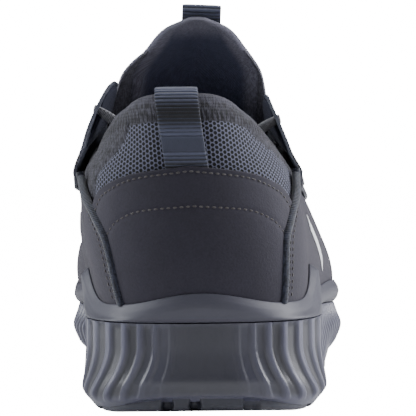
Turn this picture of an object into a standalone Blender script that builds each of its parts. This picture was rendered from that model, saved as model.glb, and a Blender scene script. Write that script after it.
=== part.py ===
"""Safety sneaker, right foot, built as the pieces that a maker puts together.

The frame is in metres: +Y towards the toe, +X towards the outer side of the foot, +Z up.
The origin lies on the floor under the middle of the heel.

Every piece reads the same table of section cards. A card is a vertical plane that stands on the
shoe's spine and looks outwards. It holds how far out the sole reaches and the profile of the last.
The share around the shoe runs from 0 at the heel's back along the outer side to 0.5 at the toe,
and back along the inner side to 1.
"""

import math

import bmesh
import bpy
import numpy as np

# Driving sizes of the sole
LENGTH = 0.303
BALL_WIDTH = 0.1125
HEEL_WIDTH = 0.0865
HEEL_STACK = 0.0315
BALL_DROP = 0.0048
TOE_RISE = 0.0045
OUTSOLE_THICK = 0.0052
OUTSOLE_INSET_HEEL = 0.0042
OUTSOLE_INSET_FORE = 0.0068
HEEL_BEVEL = 0.0026
ARCH_LIFT = 0.0030
TOE_SPRING = 0.0130
FLUTE_PITCH = 0.0068
FLUTE_DEPTH = 0.0012
FLUTE_SWEEP = 0.0105
CRADLE_WALL = 0.0024
CRADLE_LEDGE = 0.0016
GROOVE_WIDTH = 0.0030
GROOVE_DEPTH = 0.0026
GROOVE_ROOT = 0.0080
BACK_HOLE_RADIUS = 0.0017
TREAD_CHAMFER = 0.0012

# Driving sizes of the upper
QUARTER_HEIGHT = 0.078
LEAN = -0.0066
UPPER_WALL = 0.0022
COLLAR_PAD = 0.0085
LASTING_MARGIN = 0.010
OVERLAY_THICK = 0.0012
INSOLE_THICK = 0.0045
INSOLE_CUP = 0.0020
INSOLE_CLEAR = 0.0012
WING_STAND = 0.0010
COLLAR_ROLL = 0.0016
FOOT_EASE = 0.0008
PANEL_GAP = 0.0012

# Driving sizes of the tongue, loops and laces
TONGUE_RISE = 0.1080
TONGUE_REACH = 0.1000
TONGUE_WIDTH = 0.0570
TONGUE_PAD = 0.0075
TONGUE_RIM = 0.0042
WEBBING_WIDTH = 0.0146
WEBBING_THICK = 0.0013
WEBBING_GAP = 0.0030
LACE_WIDTH = 0.0058
LACE_THICK = 0.0020
LACE_ARCH = 0.0036
TONGUE_START_Y = 0.1420
HEEL_LOOP_LEAN = 0.0030
HEEL_LOOP_STAND = 0.0010
TONGUE_LOOP_SHIFT = 0.0008
GAP = 0.0003

# How finely the rings are divided around the shoe
UPPER_COLUMNS = 64
CRADLE_COLUMNS = 84

# How the sizes above follow one another
SKIN_GAP = 2.3 * GAP
STAND = SKIN_GAP + OVERLAY_THICK + SKIN_GAP
HEEL_ORIGIN = 0.1485
HEEL_UNIT = 0.2855
BALL_UNIT = 0.3713
TAU = 2 * math.pi

# The section cards. Radii are shares of the width that the card follows (heel: 1 the heel's,
# 0 the ball's), and heights are shares of QUARTER_HEIGHT above the sole's top.
CARD_COLUMNS = (
    "around", "spine", "aim", "heel", "sole", "foot", "low_r", "low_h",
    "mid_r", "mid_h", "high_r", "high_h", "top_r", "top_h",
)
CARDS = (
    (0.000, 0.115, -90.0, 1.00, 0.402, 0.330, 0.398, 0.13, 0.430, 0.36, 0.356, 0.74, 0.325, 1.040),
    (0.047, 0.115, -45.0, 1.00, 0.460, 0.366, 0.428, 0.13, 0.452, 0.36, 0.384, 0.74, 0.318, 1.030),
    (0.095, 0.155, 0.0, 1.00, 0.504, 0.386, 0.432, 0.13, 0.454, 0.34, 0.438, 0.74, 0.274, 1.020),
    (0.145, 0.250, 0.0, 0.75, 0.471, 0.380, 0.462, 0.13, 0.490, 0.34, 0.320, 0.80, 0.278, 1.040),
    (0.200, 0.345, 0.0, 0.40, 0.453, 0.378, 0.460, 0.13, 0.482, 0.36, 0.326, 0.78, 0.235, 0.950),
    (0.260, 0.470, 2.0, 0.10, 0.472, 0.400, 0.474, 0.13, 0.486, 0.37, 0.320, 0.68, 0.172, 0.800),
    (0.315, 0.570, 8.0, 0.00, 0.508, 0.436, 0.500, 0.12, 0.490, 0.36, 0.311, 0.58, 0.140, 0.680),
    (0.370, 0.620, 28.0, 0.00, 0.529, 0.449, 0.516, 0.12, 0.507, 0.36, 0.338, 0.50, 0.115, 0.620),
    (0.435, 0.620, 62.0, 0.00, 0.747, 0.665, 0.734, 0.13, 0.747, 0.48, 0.462, 0.47, 0.085, 0.602),
    (0.500, 0.620, 91.5, 0.00, 1.022, 0.930, 0.992, 0.15, 1.004, 0.58, 0.587, 0.42, 0.075, 0.598),
    (0.565, 0.620, 118.0, 0.00, 0.818, 0.735, 0.800, 0.13, 0.812, 0.48, 0.498, 0.47, 0.085, 0.602),
    (0.630, 0.620, 152.0, 0.00, 0.560, 0.480, 0.547, 0.12, 0.533, 0.37, 0.356, 0.52, 0.115, 0.620),
    (0.685, 0.570, 172.0, 0.00, 0.478, 0.405, 0.470, 0.12, 0.464, 0.38, 0.320, 0.60, 0.140, 0.690),
    (0.740, 0.470, 180.0, 0.10, 0.396, 0.328, 0.410, 0.13, 0.438, 0.40, 0.320, 0.71, 0.166, 0.815),
    (0.800, 0.345, 180.0, 0.40, 0.366, 0.302, 0.406, 0.14, 0.458, 0.41, 0.358, 0.82, 0.200, 0.980),
    (0.855, 0.250, 180.0, 0.75, 0.425, 0.350, 0.458, 0.13, 0.494, 0.38, 0.398, 0.82, 0.200, 1.130),
    (0.905, 0.155, 180.0, 1.00, 0.504, 0.386, 0.434, 0.13, 0.462, 0.34, 0.478, 0.76, 0.292, 1.040),
    (0.953, 0.115, 225.0, 1.00, 0.460, 0.366, 0.428, 0.13, 0.452, 0.36, 0.392, 0.74, 0.335, 1.035),
)

# Top edge of the upper around the shoe, as shares of QUARTER_HEIGHT above the sole's top
COLLAR_COLUMNS = ("around", "height")
COLLAR = (
    (0.000, 0.968), (0.030, 0.964), (0.055, 0.930), (0.075, 0.865), (0.095, 0.775), (0.115, 0.700),
    (0.138, 0.672), (0.160, 0.715), (0.180, 0.790), (0.205, 0.835), (0.260, 0.770), (0.315, 0.710),
    (0.370, 0.680), (0.435, 0.680), (0.500, 0.680), (0.565, 0.680), (0.630, 0.680), (0.685, 0.720),
    (0.740, 0.785), (0.795, 0.860), (0.820, 0.825), (0.840, 0.755), (0.862, 0.712), (0.885, 0.735),
    (0.905, 0.800), (0.925, 0.885), (0.945, 0.940), (0.970, 0.964),
)

# Heights along the length: the sole's top and the tread's underside, as shares of the named steps
SOLE_TOP_COLUMNS = ("along", "drop", "rise")
SOLE_TOP = (
    (0.00, 0.00, 0.0),
    (0.18, 0.00, 0.0),
    (0.32, 0.12, 0.0),
    (0.46, 0.48, 0.0),
    (0.58, 0.86, 0.0),
    (0.68, 1.00, 0.0),
    (0.80, 1.00, 0.05),
    (0.90, 1.00, 0.35),
    (1.00, 1.00, 1.0),
)
TREAD_COLUMNS = ("along", "bevel", "arch", "spring")
TREAD = (
    (0.000, 1.0, 0.0, 0.00),
    (0.035, 0.35, 0.0, 0.00),
    (0.070, 0.0, 0.0, 0.00),
    (0.300, 0.0, 0.0, 0.00),
    (0.400, 0.0, 1.0, 0.00),
    (0.480, 0.0, 1.0, 0.00),
    (0.580, 0.0, 0.0, 0.00),
    (0.740, 0.0, 0.0, 0.00),
    (0.840, 0.0, 0.0, 0.16),
    (0.920, 0.0, 0.0, 0.46),
    (1.000, 0.0, 0.0, 1.00),
)

# Side wall of the midsole, from its bottom edge up to the seam: how far in from the flare, as
# shares of HEEL_WIDTH, on the heel's wall and on the forefoot's; sweep leans the flutes forwards
WALL_COLUMNS = ("height", "heel_in", "fore_height", "fore_in", "flute", "sweep")
WALL = (
    (0.000, 0.0300, 0.000, 0.0600, 0.3, 1.00),
    (0.150, 0.0000, 0.270, 0.0230, 1.0, 0.88),
    (0.420, 0.0110, 0.560, 0.0000, 1.0, 0.55),
    (0.700, 0.0170, 0.800, 0.0180, 1.0, 0.18),
    (1.000, 0.0170, 1.000, 0.0340, 0.0, 0.00),
)
EDGE_LOW = 0.24
EDGE_FORE = 1.40
# Height of the midsole's bottom edge over the tread's underside, as shares of OUTSOLE_THICK
EDGE_COLUMNS = ("around", "height")
EDGE = (
    (0.000, 0.92), (0.030, 0.78), (0.055, 0.42), (0.085, 0.24), (0.150, 0.35), (0.230, 0.95),
    (0.300, 1.60), (0.400, 1.75), (0.500, 1.60),
    (0.600, 1.75), (0.700, 1.60), (0.770, 0.95), (0.850, 0.35), (0.915, 0.24), (0.945, 0.42),
    (0.970, 0.78),
)

# Top edge of the cradle around the shoe, as shares of QUARTER_HEIGHT above the sole's top
RIM_COLUMNS = ("around", "height")
RIM = (
    (0.000, 0.137), (0.020, 0.122), (0.040, 0.094), (0.058, 0.084), (0.074, 0.110),
    (0.090, 0.210), (0.104, 0.222), (0.118, 0.205), (0.136, 0.110), (0.160, 0.086),
    (0.210, 0.100), (0.270, 0.118), (0.330, 0.112), (0.400, 0.120), (0.450, 0.160),
    (0.500, 0.185),
    (0.550, 0.160), (0.600, 0.120), (0.670, 0.112), (0.730, 0.118), (0.790, 0.100),
    (0.840, 0.086), (0.864, 0.110), (0.882, 0.205), (0.896, 0.222), (0.910, 0.210),
    (0.926, 0.110), (0.942, 0.084), (0.960, 0.094), (0.980, 0.122),
)


def column(rows, columns, name):
    """One named column of a table, as an array."""
    return np.array([row[columns.index(name)] for row in rows], float)


def ring_spline(at, values, u):
    """The smooth closed curve through values at the shares at, read at u.

    It is the periodic cubic spline: its bends at the knots solve one cyclic set of equations.
    """
    n = len(at)
    step = np.append(np.diff(at), 1.0 - at[-1] + at[0])
    slope = (np.roll(values, -1) - values) / step
    before = np.roll(step, 1)
    matrix = np.zeros((n, n))
    rows = np.arange(n)
    matrix[rows, rows] = 2 * (before + step)
    matrix[rows, (rows - 1) % n] += before
    matrix[rows, (rows + 1) % n] += step
    bend = np.linalg.solve(matrix, 6 * (slope - np.roll(slope, 1)))
    u = np.mod(np.asarray(u, float) - at[0], 1.0) + at[0]
    k = np.clip(np.searchsorted(at, u, side="right") - 1, 0, n - 1)
    h = step[k]
    t = u - at[k]
    left, right = values[k], np.roll(values, -1)[k]
    m0, m1 = bend[k], np.roll(bend, -1)[k]
    cubic = (m1 - m0) / (6 * h) * t**3 + m0 / 2 * t**2
    return left + ((right - left) / h - h * (2 * m0 + m1) / 6) * t + cubic


def ease(at, values, x):
    """The monotone cubic through values at at, read at x: it never overshoots between knots."""
    x = np.clip(np.asarray(x, float), at[0], at[-1])
    step = np.diff(at)
    slope = np.diff(values) / step
    flat = slope[:-1] * slope[1:] <= 0
    total = np.where(flat, 1.0, slope[:-1] + slope[1:])
    inner = np.where(flat, 0.0, 2 * slope[:-1] * slope[1:] / total)
    tangent = np.concatenate([[slope[0]], inner, [slope[-1]]])
    k = np.clip(np.searchsorted(at, x, side="right") - 1, 0, len(step) - 1)
    t = (x - at[k]) / step[k]
    rise = (3 - 2 * t) * t * t
    pull = tangent[k] * (1 - t) ** 2 * t - tangent[k + 1] * (1 - t) * t * t
    return values[k] + (values[k + 1] - values[k]) * rise + pull * step[k]


CARD = {name: column(CARDS, CARD_COLUMNS, name) for name in CARD_COLUMNS}
AROUND = CARD["around"]
PLAN_AT = np.concatenate([AROUND - 1, AROUND, AROUND + 1])


def eased(name, turn, u):
    """A card column eased around the shoe; turn is what it gains in one round."""
    values = np.concatenate([CARD[name] - turn, CARD[name], CARD[name] + turn])
    return ease(PLAN_AT, values, np.mod(u, 1.0))


def smooth(name, u):
    """A card column as a smooth closed curve around the shoe."""
    return ring_spline(AROUND, CARD[name], u)


def rise(x, low, high):
    """0 before low, 1 after high, and a smooth step between."""
    t = np.clip((np.asarray(x, float) - low) / (high - low), 0, 1)
    return t * t * (3 - 2 * t)


def length_at(share):
    """The Y of a share of the sole's length, counted from the heel's back."""
    return (np.asarray(share, float) - HEEL_ORIGIN) * LENGTH


def share_at(y):
    """The share of the sole's length at Y."""
    return np.asarray(y, float) / LENGTH + HEEL_ORIGIN


def sole_top(y):
    """Height of the midsole's top, where the upper stands."""
    at = column(SOLE_TOP, SOLE_TOP_COLUMNS, "along")
    drop = ease(at, column(SOLE_TOP, SOLE_TOP_COLUMNS, "drop"), share_at(y))
    lift = ease(at, column(SOLE_TOP, SOLE_TOP_COLUMNS, "rise"), share_at(y))
    return HEEL_STACK - BALL_DROP * drop + TOE_RISE * lift


def tread_under(y):
    """Height of the tread's underside: flat at the heel and the ball."""
    at = column(TREAD, TREAD_COLUMNS, "along")
    steps = (("bevel", HEEL_BEVEL), ("arch", ARCH_LIFT), ("spring", TOE_SPRING))
    parts = [size * ease(at, column(TREAD, TREAD_COLUMNS, name), share_at(y)) for name, size in steps]
    return parts[0] + parts[1] + parts[2]


def plan(u, radius, inwards=0.0):
    """X and Y of a radius on the card at u, less a real length inwards along the card."""
    spine = eased("spine", 0.0, u)
    aim = np.radians(eased("aim", 360.0, u))
    heel = eased("heel", 0.0, u)
    wide = heel * HEEL_WIDTH + (1 - heel) * BALL_WIDTH
    long = (heel * HEEL_UNIT + (1 - heel) * BALL_UNIT) * LENGTH
    x = np.cos(aim) * (radius * wide - inwards)
    y = length_at(spine) + np.sin(aim) * (radius * long - inwards)
    return x, y


def last_point(u, v):
    """A point of the last: v runs from 0 at the sole to 1 at the topline.

    Each card's profile is one Bezier curve of the fourth degree through the card's plane.
    """
    u, v = np.broadcast_arrays(np.asarray(u, float), np.asarray(v, float))
    names = ("foot", "low", "mid", "high", "top")
    radii = [smooth("foot", u)] + [smooth(name + "_r", u) for name in names[1:]]
    heights = [np.zeros_like(u)] + [smooth(name + "_h", u) for name in names[1:]]
    weights = [math.comb(4, k) * (1 - v) ** (4 - k) * v**k for k in range(5)]
    radius = sum(w * r for w, r in zip(weights, radii))
    height = sum(w * h for w, h in zip(weights, heights))
    x, y = plan(u, radius)
    x = x + LEAN * height
    foot_y = plan(u, radii[0])[1]
    z = sole_top(foot_y) * (1 - v) + sole_top(y) * v + GAP + QUARTER_HEIGHT * height
    return np.stack([x, y, z], -1)


def last_normal(u, v):
    """The outward direction of the last's surface."""
    step = 1e-4
    along = last_point(np.asarray(u) + step, v) - last_point(np.asarray(u) - step, v)
    up = last_point(u, np.asarray(v) + step) - last_point(u, np.asarray(v) - step)
    normal = np.cross(along, up)
    return normal / np.linalg.norm(normal, axis=-1, keepdims=True)


def last_out(u, v, out):
    """A point that stands a real distance out from the last."""
    out = np.asarray(out, float)[..., None]
    return last_point(u, v) + out * last_normal(u, v)


def share_for_height(u, height):
    """The v at which the last's wall reaches a height above the sole, by bisection."""
    u, height = np.broadcast_arrays(np.asarray(u, float), np.asarray(height, float))
    low, high = np.zeros_like(height), np.ones_like(height)
    base = last_point(u, 0.0)[..., 2]
    for _ in range(30):
        middle = (low + high) / 2
        under = last_point(u, middle)[..., 2] - base < height
        low, high = np.where(under, middle, low), np.where(under, high, middle)
    return (low + high) / 2


def mesh_object(name, points, faces, material):
    """One closed object from points and faces, its doubles merged and its faces turned out."""
    mesh = bpy.data.meshes.new(name)
    mesh.from_pydata([tuple(p) for p in points], [], faces)
    work = bmesh.new()
    work.from_mesh(mesh)
    bmesh.ops.remove_doubles(work, verts=work.verts, dist=1e-6)
    bmesh.ops.dissolve_degenerate(work, edges=work.edges, dist=1e-7)
    bmesh.ops.recalc_face_normals(work, faces=work.faces)
    work.to_mesh(mesh)
    work.free()
    mesh.materials.append(material)
    mesh.shade_smooth()
    mesh.set_sharp_from_angle(angle=math.radians(35))
    made = bpy.data.objects.new(name, mesh)
    bpy.context.collection.objects.link(made)
    return made


def grid_faces(rows, columns, closed_rows, closed_columns, first=0):
    """The quads of a grid of points, closed round either way."""
    faces = []
    for i in range(rows if closed_rows else rows - 1):
        for j in range(columns if closed_columns else columns - 1):
            a, b = i, (i + 1) % rows
            c, d = j, (j + 1) % columns
            faces.append(tuple(first + r * columns + k for r, k in ((a, c), (a, d), (b, d), (b, c))))
    return faces


def ring_solid(name, loops, material):
    """A ring such as a shell's wall: loops of points, closed around the shoe and around the wall."""
    loops = np.asarray(loops)
    faces = grid_faces(loops.shape[0], loops.shape[1], True, True)
    return mesh_object(name, loops.reshape(-1, 3), faces, material)


def slab_solid(name, rings, under, over, material):
    """A filled slab: rings from bottom to top, closed to the points of the spine under and over."""
    rings = np.concatenate([[under], rings, [over]])
    faces = grid_faces(rings.shape[0], rings.shape[1], False, True)
    return mesh_object(name, rings.reshape(-1, 3), faces, material)


def sheet_solid(name, outer, inner, material):
    """A thick sheet between two grids of points with the same layout."""
    rows, columns = outer.shape[:2]
    count = rows * columns
    faces = grid_faces(rows, columns, False, False)
    faces += [tuple(count + k for k in reversed(face)) for face in list(faces)]
    rim = [(0, j) for j in range(columns - 1)] + [(i, columns - 1) for i in range(rows - 1)]
    rim += [(rows - 1, j) for j in range(columns - 1, 0, -1)] + [(i, 0) for i in range(rows - 1, 0, -1)]
    for (i, j), (k, m) in zip(rim, rim[1:] + rim[:1]):
        a, b = i * columns + j, k * columns + m
        faces.append((a, b, count + b, count + a))
    return mesh_object(name, np.concatenate([outer.reshape(-1, 3), inner.reshape(-1, 3)]), faces, material)


def material(name, colour, roughness):
    """A plain Principled material."""
    made = bpy.data.materials.new(name)
    made.use_nodes = True
    shader = made.node_tree.nodes["Principled BSDF"]
    shader.inputs["Base Color"].default_value = (*colour, 1.0)
    shader.inputs["Roughness"].default_value = roughness
    return made


def around(count):
    """Even shares around the shoe."""
    return np.arange(count) / count


def closed_table(rows, columns, name, u):
    """A column of a table around the shoe, as a smooth closed curve."""
    return ring_spline(column(rows, columns, "around"), column(rows, columns, name), u)


def edge_height(u, y):
    """Height of the midsole's bottom edge."""
    return tread_under(y) + OUTSOLE_THICK * closed_table(EDGE, EDGE_COLUMNS, "height", u)


def wall_ring(u, row, valley=0.0):
    """One ring of the midsole's side wall, from a row of WALL; valley is 1 in a flute."""
    height, heel_in, fore_height, fore_in, flute, sweep = row
    u = u + FLUTE_SWEEP * sweep * np.sin(TAU * u)
    x, y = plan(u, smooth("sole", u))
    fore = rise(share_at(y), 0.25, 0.55)
    level = height + (fore_height - height) * fore
    inset = (heel_in + (fore_in - heel_in) * fore) * HEEL_WIDTH
    from_heel = np.minimum(np.mod(u, 1.0), 1 - np.mod(u, 1.0))
    inset = inset + flute * FLUTE_DEPTH * valley * (0.25 + 0.75 * rise(from_heel, 0.008, 0.045))
    x, y = plan(u, smooth("sole", u), inset)
    bottom = tread_under(y) + OUTSOLE_THICK * (EDGE_LOW + (EDGE_FORE - EDGE_LOW) * fore)
    z = edge_height(u, y) if height == 0 else bottom + (sole_top(y) - bottom) * level
    return np.stack([x, y, z], -1)


def spine_points(u, height):
    """The points of the spine on the cards at u, at the height that a function of Y gives."""
    y = length_at(eased("spine", 0.0, np.minimum(u, 1 - u)))
    return np.stack([np.zeros_like(y), y, height(y)], -1)


def flute_count():
    """How many flutes of about FLUTE_PITCH go around the flare."""
    x, y = plan(around(720), smooth("sole", around(720)))
    run = np.hypot(np.diff(x, append=x[:1]), np.diff(y, append=y[:1])).sum()
    return max(24, int(round(run / FLUTE_PITCH / 2)) * 2)


def tread_ring(u, extra, height):
    """A ring along the tread's side, further inwards by extra, at the height a function gives."""
    u = u + FLUTE_SWEEP * np.sin(TAU * u)
    fore = rise(share_at(plan(u, smooth("sole", u))[1]), 0.25, 0.55)
    inset = OUTSOLE_INSET_HEEL + (OUTSOLE_INSET_FORE - OUTSOLE_INSET_HEEL) * fore
    x, y = plan(u, smooth("sole", u), inset + extra)
    return np.stack([x, y, height(y)], -1)


# Rings between the spine and the tread's side, as shares of the way, that keep the ball flat
TREAD_SHARES = (0.36,)


def tread_middle(u, share, height):
    """A ring at a share of the way from the spine to the tread's side."""
    ring = spine_points(u, height) * (1 - share) + tread_ring(u, 0.0, height) * share
    ring[:, 2] = height(ring[:, 1])
    return ring


def foot_ring(u, inwards, height):
    """A ring at a real length inwards from the last's foot line."""
    x, y = plan(u, smooth("foot", u), inwards)
    return np.stack([x, y, height(y)], -1)


def build_midsole(finish):
    """The fluted carrier: two points to a flute, a ridge and a valley, and a plain top and bottom."""
    count = flute_count() * 2
    u = around(count)
    half = u[::2]
    wall = [wall_ring(u, row, np.arange(count) % 2) for row in WALL]
    tread_top = lambda y: tread_under(y) + OUTSOLE_THICK
    bottom = [spine_points(half, tread_top)]
    bottom += [tread_middle(half, share, tread_top) for share in TREAD_SHARES]
    bottom.append(tread_ring(half, -GAP, tread_top))
    top = [foot_ring(half, -STAND, sole_top), foot_ring(half, LASTING_MARGIN, sole_top)]
    top.append(spine_points(half, sole_top))
    n = len(half)
    points = np.concatenate([*bottom, *wall, *top])
    first_wall = len(bottom) * n
    first_top = first_wall + len(wall) * count
    faces = grid_faces(len(bottom), n, False, True)
    faces += grid_faces(len(wall), count, False, True, first_wall)
    faces += grid_faces(len(top), n, False, True, first_top)
    last_bottom = first_wall - n
    last_wall = first_top - count
    for k in range(n):
        a, b, c = 2 * k, 2 * k + 1, (2 * k + 2) % count
        here, there = k, (k + 1) % n
        faces.append((last_bottom + here, last_bottom + there, first_wall + c, first_wall + b, first_wall + a))
        faces.append((last_wall + a, last_wall + b, last_wall + c, first_top + there, first_top + here))
    return mesh_object("midsole", points, faces, finish)


def cutter(name, points, faces):
    """A hidden shape that a Boolean cuts with."""
    made = mesh_object(name, points, faces, None)
    made.hide_render = True
    made.display_type = "WIRE"
    return made


def bar(centre, size, turn):
    """The corners and faces of a box turned about Z."""
    signs = [(x, y, z) for z in (-0.5, 0.5) for x, y in ((-0.5, -0.5), (0.5, -0.5), (0.5, 0.5), (-0.5, 0.5))]
    c, s = math.cos(turn), math.sin(turn)
    points = []
    for x, y, z in signs:
        px, py = x * size[0], y * size[1]
        points.append((centre[0] + px * c - py * s, centre[1] + px * s + py * c, centre[2] + z * size[2]))
    faces = [(3, 2, 1, 0), (4, 5, 6, 7), (0, 1, 5, 4), (1, 2, 6, 5), (2, 3, 7, 6), (3, 0, 4, 7)]
    return points, faces


GROOVE_COLUMNS = ("along", "side", "slant")
GROOVES = (
    (0.115, -1, 14), (0.115, 1, -14), (0.190, -1, 14), (0.190, 1, -14),
    (0.262, -1, 14), (0.262, 1, -14), (0.560, -1, -16), (0.560, 1, 16),
    (0.612, -1, -16), (0.612, 1, 16), (0.664, -1, -16), (0.664, 1, 16),
    (0.716, -1, -16), (0.716, 1, 16), (0.768, -1, -16), (0.768, 1, 16),
    (0.820, -1, -16), (0.820, 1, 16), (0.872, -1, -16), (0.872, 1, 16), (0.924, 0, 0),
)
# Where the back edge is pierced and notched, as shares of HEEL_WIDTH
BACK_HOLES = (-0.148, -0.040)
BACK_NOTCHES = ((-0.340, 0.0024), (0.185, 0.0052))


def build_outsole(finish):
    """The tread unit: a plate with its edge bevelled, cut by slanted grooves into lugs."""
    u = around(64)
    thick = OUTSOLE_THICK - 2 * GAP
    plate_top = lambda y: tread_under(y) + thick
    rings = [tread_middle(u, share, tread_under) for share in TREAD_SHARES]
    rings.append(tread_ring(u, TREAD_CHAMFER, tread_under))
    rings.append(tread_ring(u, 0.0, lambda y: tread_under(y) + 0.3 * thick))
    rings.append(tread_ring(u, 0.0, plate_top))
    rings += [tread_middle(u, share, plate_top) for share in TREAD_SHARES[::-1]]
    under = spine_points(u, tread_under)
    over = spine_points(u, plate_top)
    sole = slab_solid("outsole", np.array(rings), under, over, finish)
    cutters = []
    for number, (along, side, slant) in enumerate(GROOVES):
        y = float(length_at(along))
        under_here = float(tread_under(y))
        reach = BALL_WIDTH if side == 0 else BALL_WIDTH / 2
        x = side * (reach / 2 + GROOVE_ROOT)
        size = (reach, GROOVE_WIDTH, 2 * GROOVE_DEPTH)
        points, faces = bar((x, y, under_here), size, math.radians(slant))
        cutters.append(cutter("groove_%d" % number, points, faces))
    back = float(length_at(0.0))
    for number, share in enumerate(BACK_HOLES):
        turn = np.arange(10) / 10 * TAU
        z = float(tread_under(back)) + OUTSOLE_THICK * 0.62
        ends = []
        for y in (back - 0.01, back + OUTSOLE_INSET_HEEL + 0.008):
            ends += [
                (share * HEEL_WIDTH + BACK_HOLE_RADIUS * math.cos(t), y, z + BACK_HOLE_RADIUS * math.sin(t))
                for t in turn
            ]
        sides = [(k, (k + 1) % 10, 10 + (k + 1) % 10, 10 + k) for k in range(10)]
        caps = [tuple(range(9, -1, -1)), tuple(range(10, 20))]
        cutters.append(cutter("back_hole_%d" % number, ends, sides + caps))
    for number, (share, width) in enumerate(BACK_NOTCHES):
        y = back + OUTSOLE_INSET_HEEL + 0.004
        z = float(tread_under(back))
        points, faces = bar((share * HEEL_WIDTH, y, z), (width, 0.030, 2 * GROOVE_DEPTH), 0.0)
        cutters.append(cutter("back_notch_%d" % number, points, faces))
    for shape in cutters:
        cut = sole.modifiers.new(shape.name, "BOOLEAN")
        cut.operation = "DIFFERENCE"
        cut.object = shape
    return sole


def rim_share(u):
    """The v of the cradle's top edge on the last."""
    return share_for_height(u, closed_table(RIM, RIM_COLUMNS, "height", u) * QUARTER_HEIGHT)


def build_cradle(finish):
    """The band on the midsole: its inside follows the last, its top edge has a sloping ledge."""
    u = around(CRADLE_COLUMNS)
    top = rim_share(u)
    inner_foot = foot_ring(u, -STAND, lambda y: sole_top(y) + 1.5 * GAP)
    inner = [last_out(u, top * t, STAND) for t in (0.22, 0.58, 1.0)]
    inner[0][:, 2] = np.maximum(inner[0][:, 2], sole_top(inner[0][:, 1]) + 3 * GAP)
    ledge = last_out(u, top * 0.99, STAND + CRADLE_LEDGE * 0.7)
    corner = last_out(u, top * 0.80, STAND + CRADLE_WALL)
    seam = wall_ring(u, WALL[-1])
    seam[:, 2] = seam[:, 2] + 1.5 * GAP
    return ring_solid("cradle", [inner_foot, *inner, ledge, corner, seam], finish)


def collar_share(u):
    """The v of the upper's top edge on the last."""
    return share_for_height(u, closed_table(COLLAR, COLLAR_COLUMNS, "height", u) * QUARTER_HEIGHT)


def round_heel(u):
    """1 around the heel and the ankle, 0 along the throat and the forefoot."""
    from_heel = np.minimum(np.mod(u, 1.0), 1 - np.mod(u, 1.0))
    return 1 - rise(from_heel, 0.150, 0.195)


def pad_depth(u, t):
    """Thickness of the upper's wall at the share t of its height: foam swells the collar."""
    swell = rise(t, 0.55, 0.84) * (1 - 0.30 * rise(t, 0.94, 1.0))
    return UPPER_WALL + (COLLAR_PAD - UPPER_WALL) * round_heel(u) * swell


def collar_roll(u, v):
    """How far the padded collar stands out from the last at v."""
    t = np.asarray(v, float) / collar_share(u)
    return COLLAR_ROLL * round_heel(u) * np.sin(math.pi * np.clip((t - 0.76) / 0.30, 0, 1)) ** 2


UPPER_LEVELS = (0.12, 0.24, 0.37, 0.52, 0.68, 0.83, 0.93, 1.0)


def build_upper(finish):
    """The bootie: one wall, turned in under the foot and rolled over at the topline."""
    u = around(UPPER_COLUMNS)
    top = collar_share(u)
    floor = lambda y: sole_top(y) + GAP
    lining = lambda y: sole_top(y) + GAP + UPPER_WALL
    loops = [foot_ring(u, LASTING_MARGIN, floor), foot_ring(u, FOOT_EASE, floor)]
    loops += [last_out(u, top * t, collar_roll(u, top * t)) for t in UPPER_LEVELS]
    depth = pad_depth(u, 1.0)
    middle = last_out(u, top, -depth / 2)
    up = last_point(u, top) - last_point(u, top * 0.97)
    up = up / np.linalg.norm(up, axis=-1, keepdims=True)
    loops.append(middle + up * (depth * 0.42)[:, None])
    loops += [last_out(u, top * t, -pad_depth(u, t)) for t in UPPER_LEVELS[::-1]]
    loops += [foot_ring(u, UPPER_WALL + FOOT_EASE, lining), foot_ring(u, LASTING_MARGIN, lining)]
    return ring_solid("upper", loops, finish)


def build_insole(finish):
    """The footbed: it lies on the midsole inside the margin and laps over the margin."""
    u = around(44)
    lap = GAP + UPPER_WALL + GAP
    edges = (
        (LASTING_MARGIN + INSOLE_CLEAR, GAP),
        (LASTING_MARGIN + INSOLE_CLEAR, lap),
        (UPPER_WALL + 0.0032, lap),
        (UPPER_WALL + 0.0026, lap + INSOLE_THICK + INSOLE_CUP),
        (UPPER_WALL + 0.0060, lap + INSOLE_THICK + INSOLE_CUP * 0.55),
        (LASTING_MARGIN + 0.006, lap + INSOLE_THICK),
    )
    rings = [foot_ring(u, inwards, lambda y, h=height: sole_top(y) + h) for inwards, height in edges]
    under = spine_points(u, lambda y: sole_top(y) + GAP)
    over = spine_points(u, lambda y: sole_top(y) + lap + INSOLE_THICK)
    return slab_solid("insole", np.array(rings), under, over, finish)


def overlay(name, shares, levels, finish, stand=SKIN_GAP, thick=OVERLAY_THICK):
    """A panel cut between two forms of the last: grids of shares around and of v."""
    outer = last_out(shares, levels, stand + thick + collar_roll(shares, levels))
    inner = last_out(shares, levels, stand + collar_roll(shares, levels))
    return sheet_solid(name, outer, inner, finish)


# Rear edge of a quarter panel by height, and the counter's arched top edge
REAR_COLUMNS = ("height", "around")
REAR = ((0.03, 0.0520), (0.20, 0.0525), (0.34, 0.0545), (0.46, 0.0620), (0.56, 0.0740), (0.63, 0.0850))
ARCH_COLUMNS = ("side", "height")
ARCH = ((0.0, 0.680), (0.40, 0.650), (0.75, 0.585), (1.0, 0.500))
COUNTER_FOOT = 0.030


def rear_edge(height):
    """The share around at which a quarter's rear edge stands, by height."""
    return ease(column(REAR, REAR_COLUMNS, "height"), column(REAR, REAR_COLUMNS, "around"), height)


def build_counter(finish):
    """The heel panel between the quarters: its top edge is an arch under the collar's mesh."""
    side = np.linspace(-1, 1, 15)[None, :]
    b = np.linspace(0, 1, 6)[:, None]
    top = ease(column(ARCH, ARCH_COLUMNS, "side"), column(ARCH, ARCH_COLUMNS, "height"), np.abs(side))
    height = COUNTER_FOOT + (top - COUNTER_FOOT) * b
    u = side * (rear_edge(height) - PANEL_GAP)
    return overlay("heel_counter", u, share_for_height(u, height * QUARTER_HEIGHT), finish)


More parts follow.
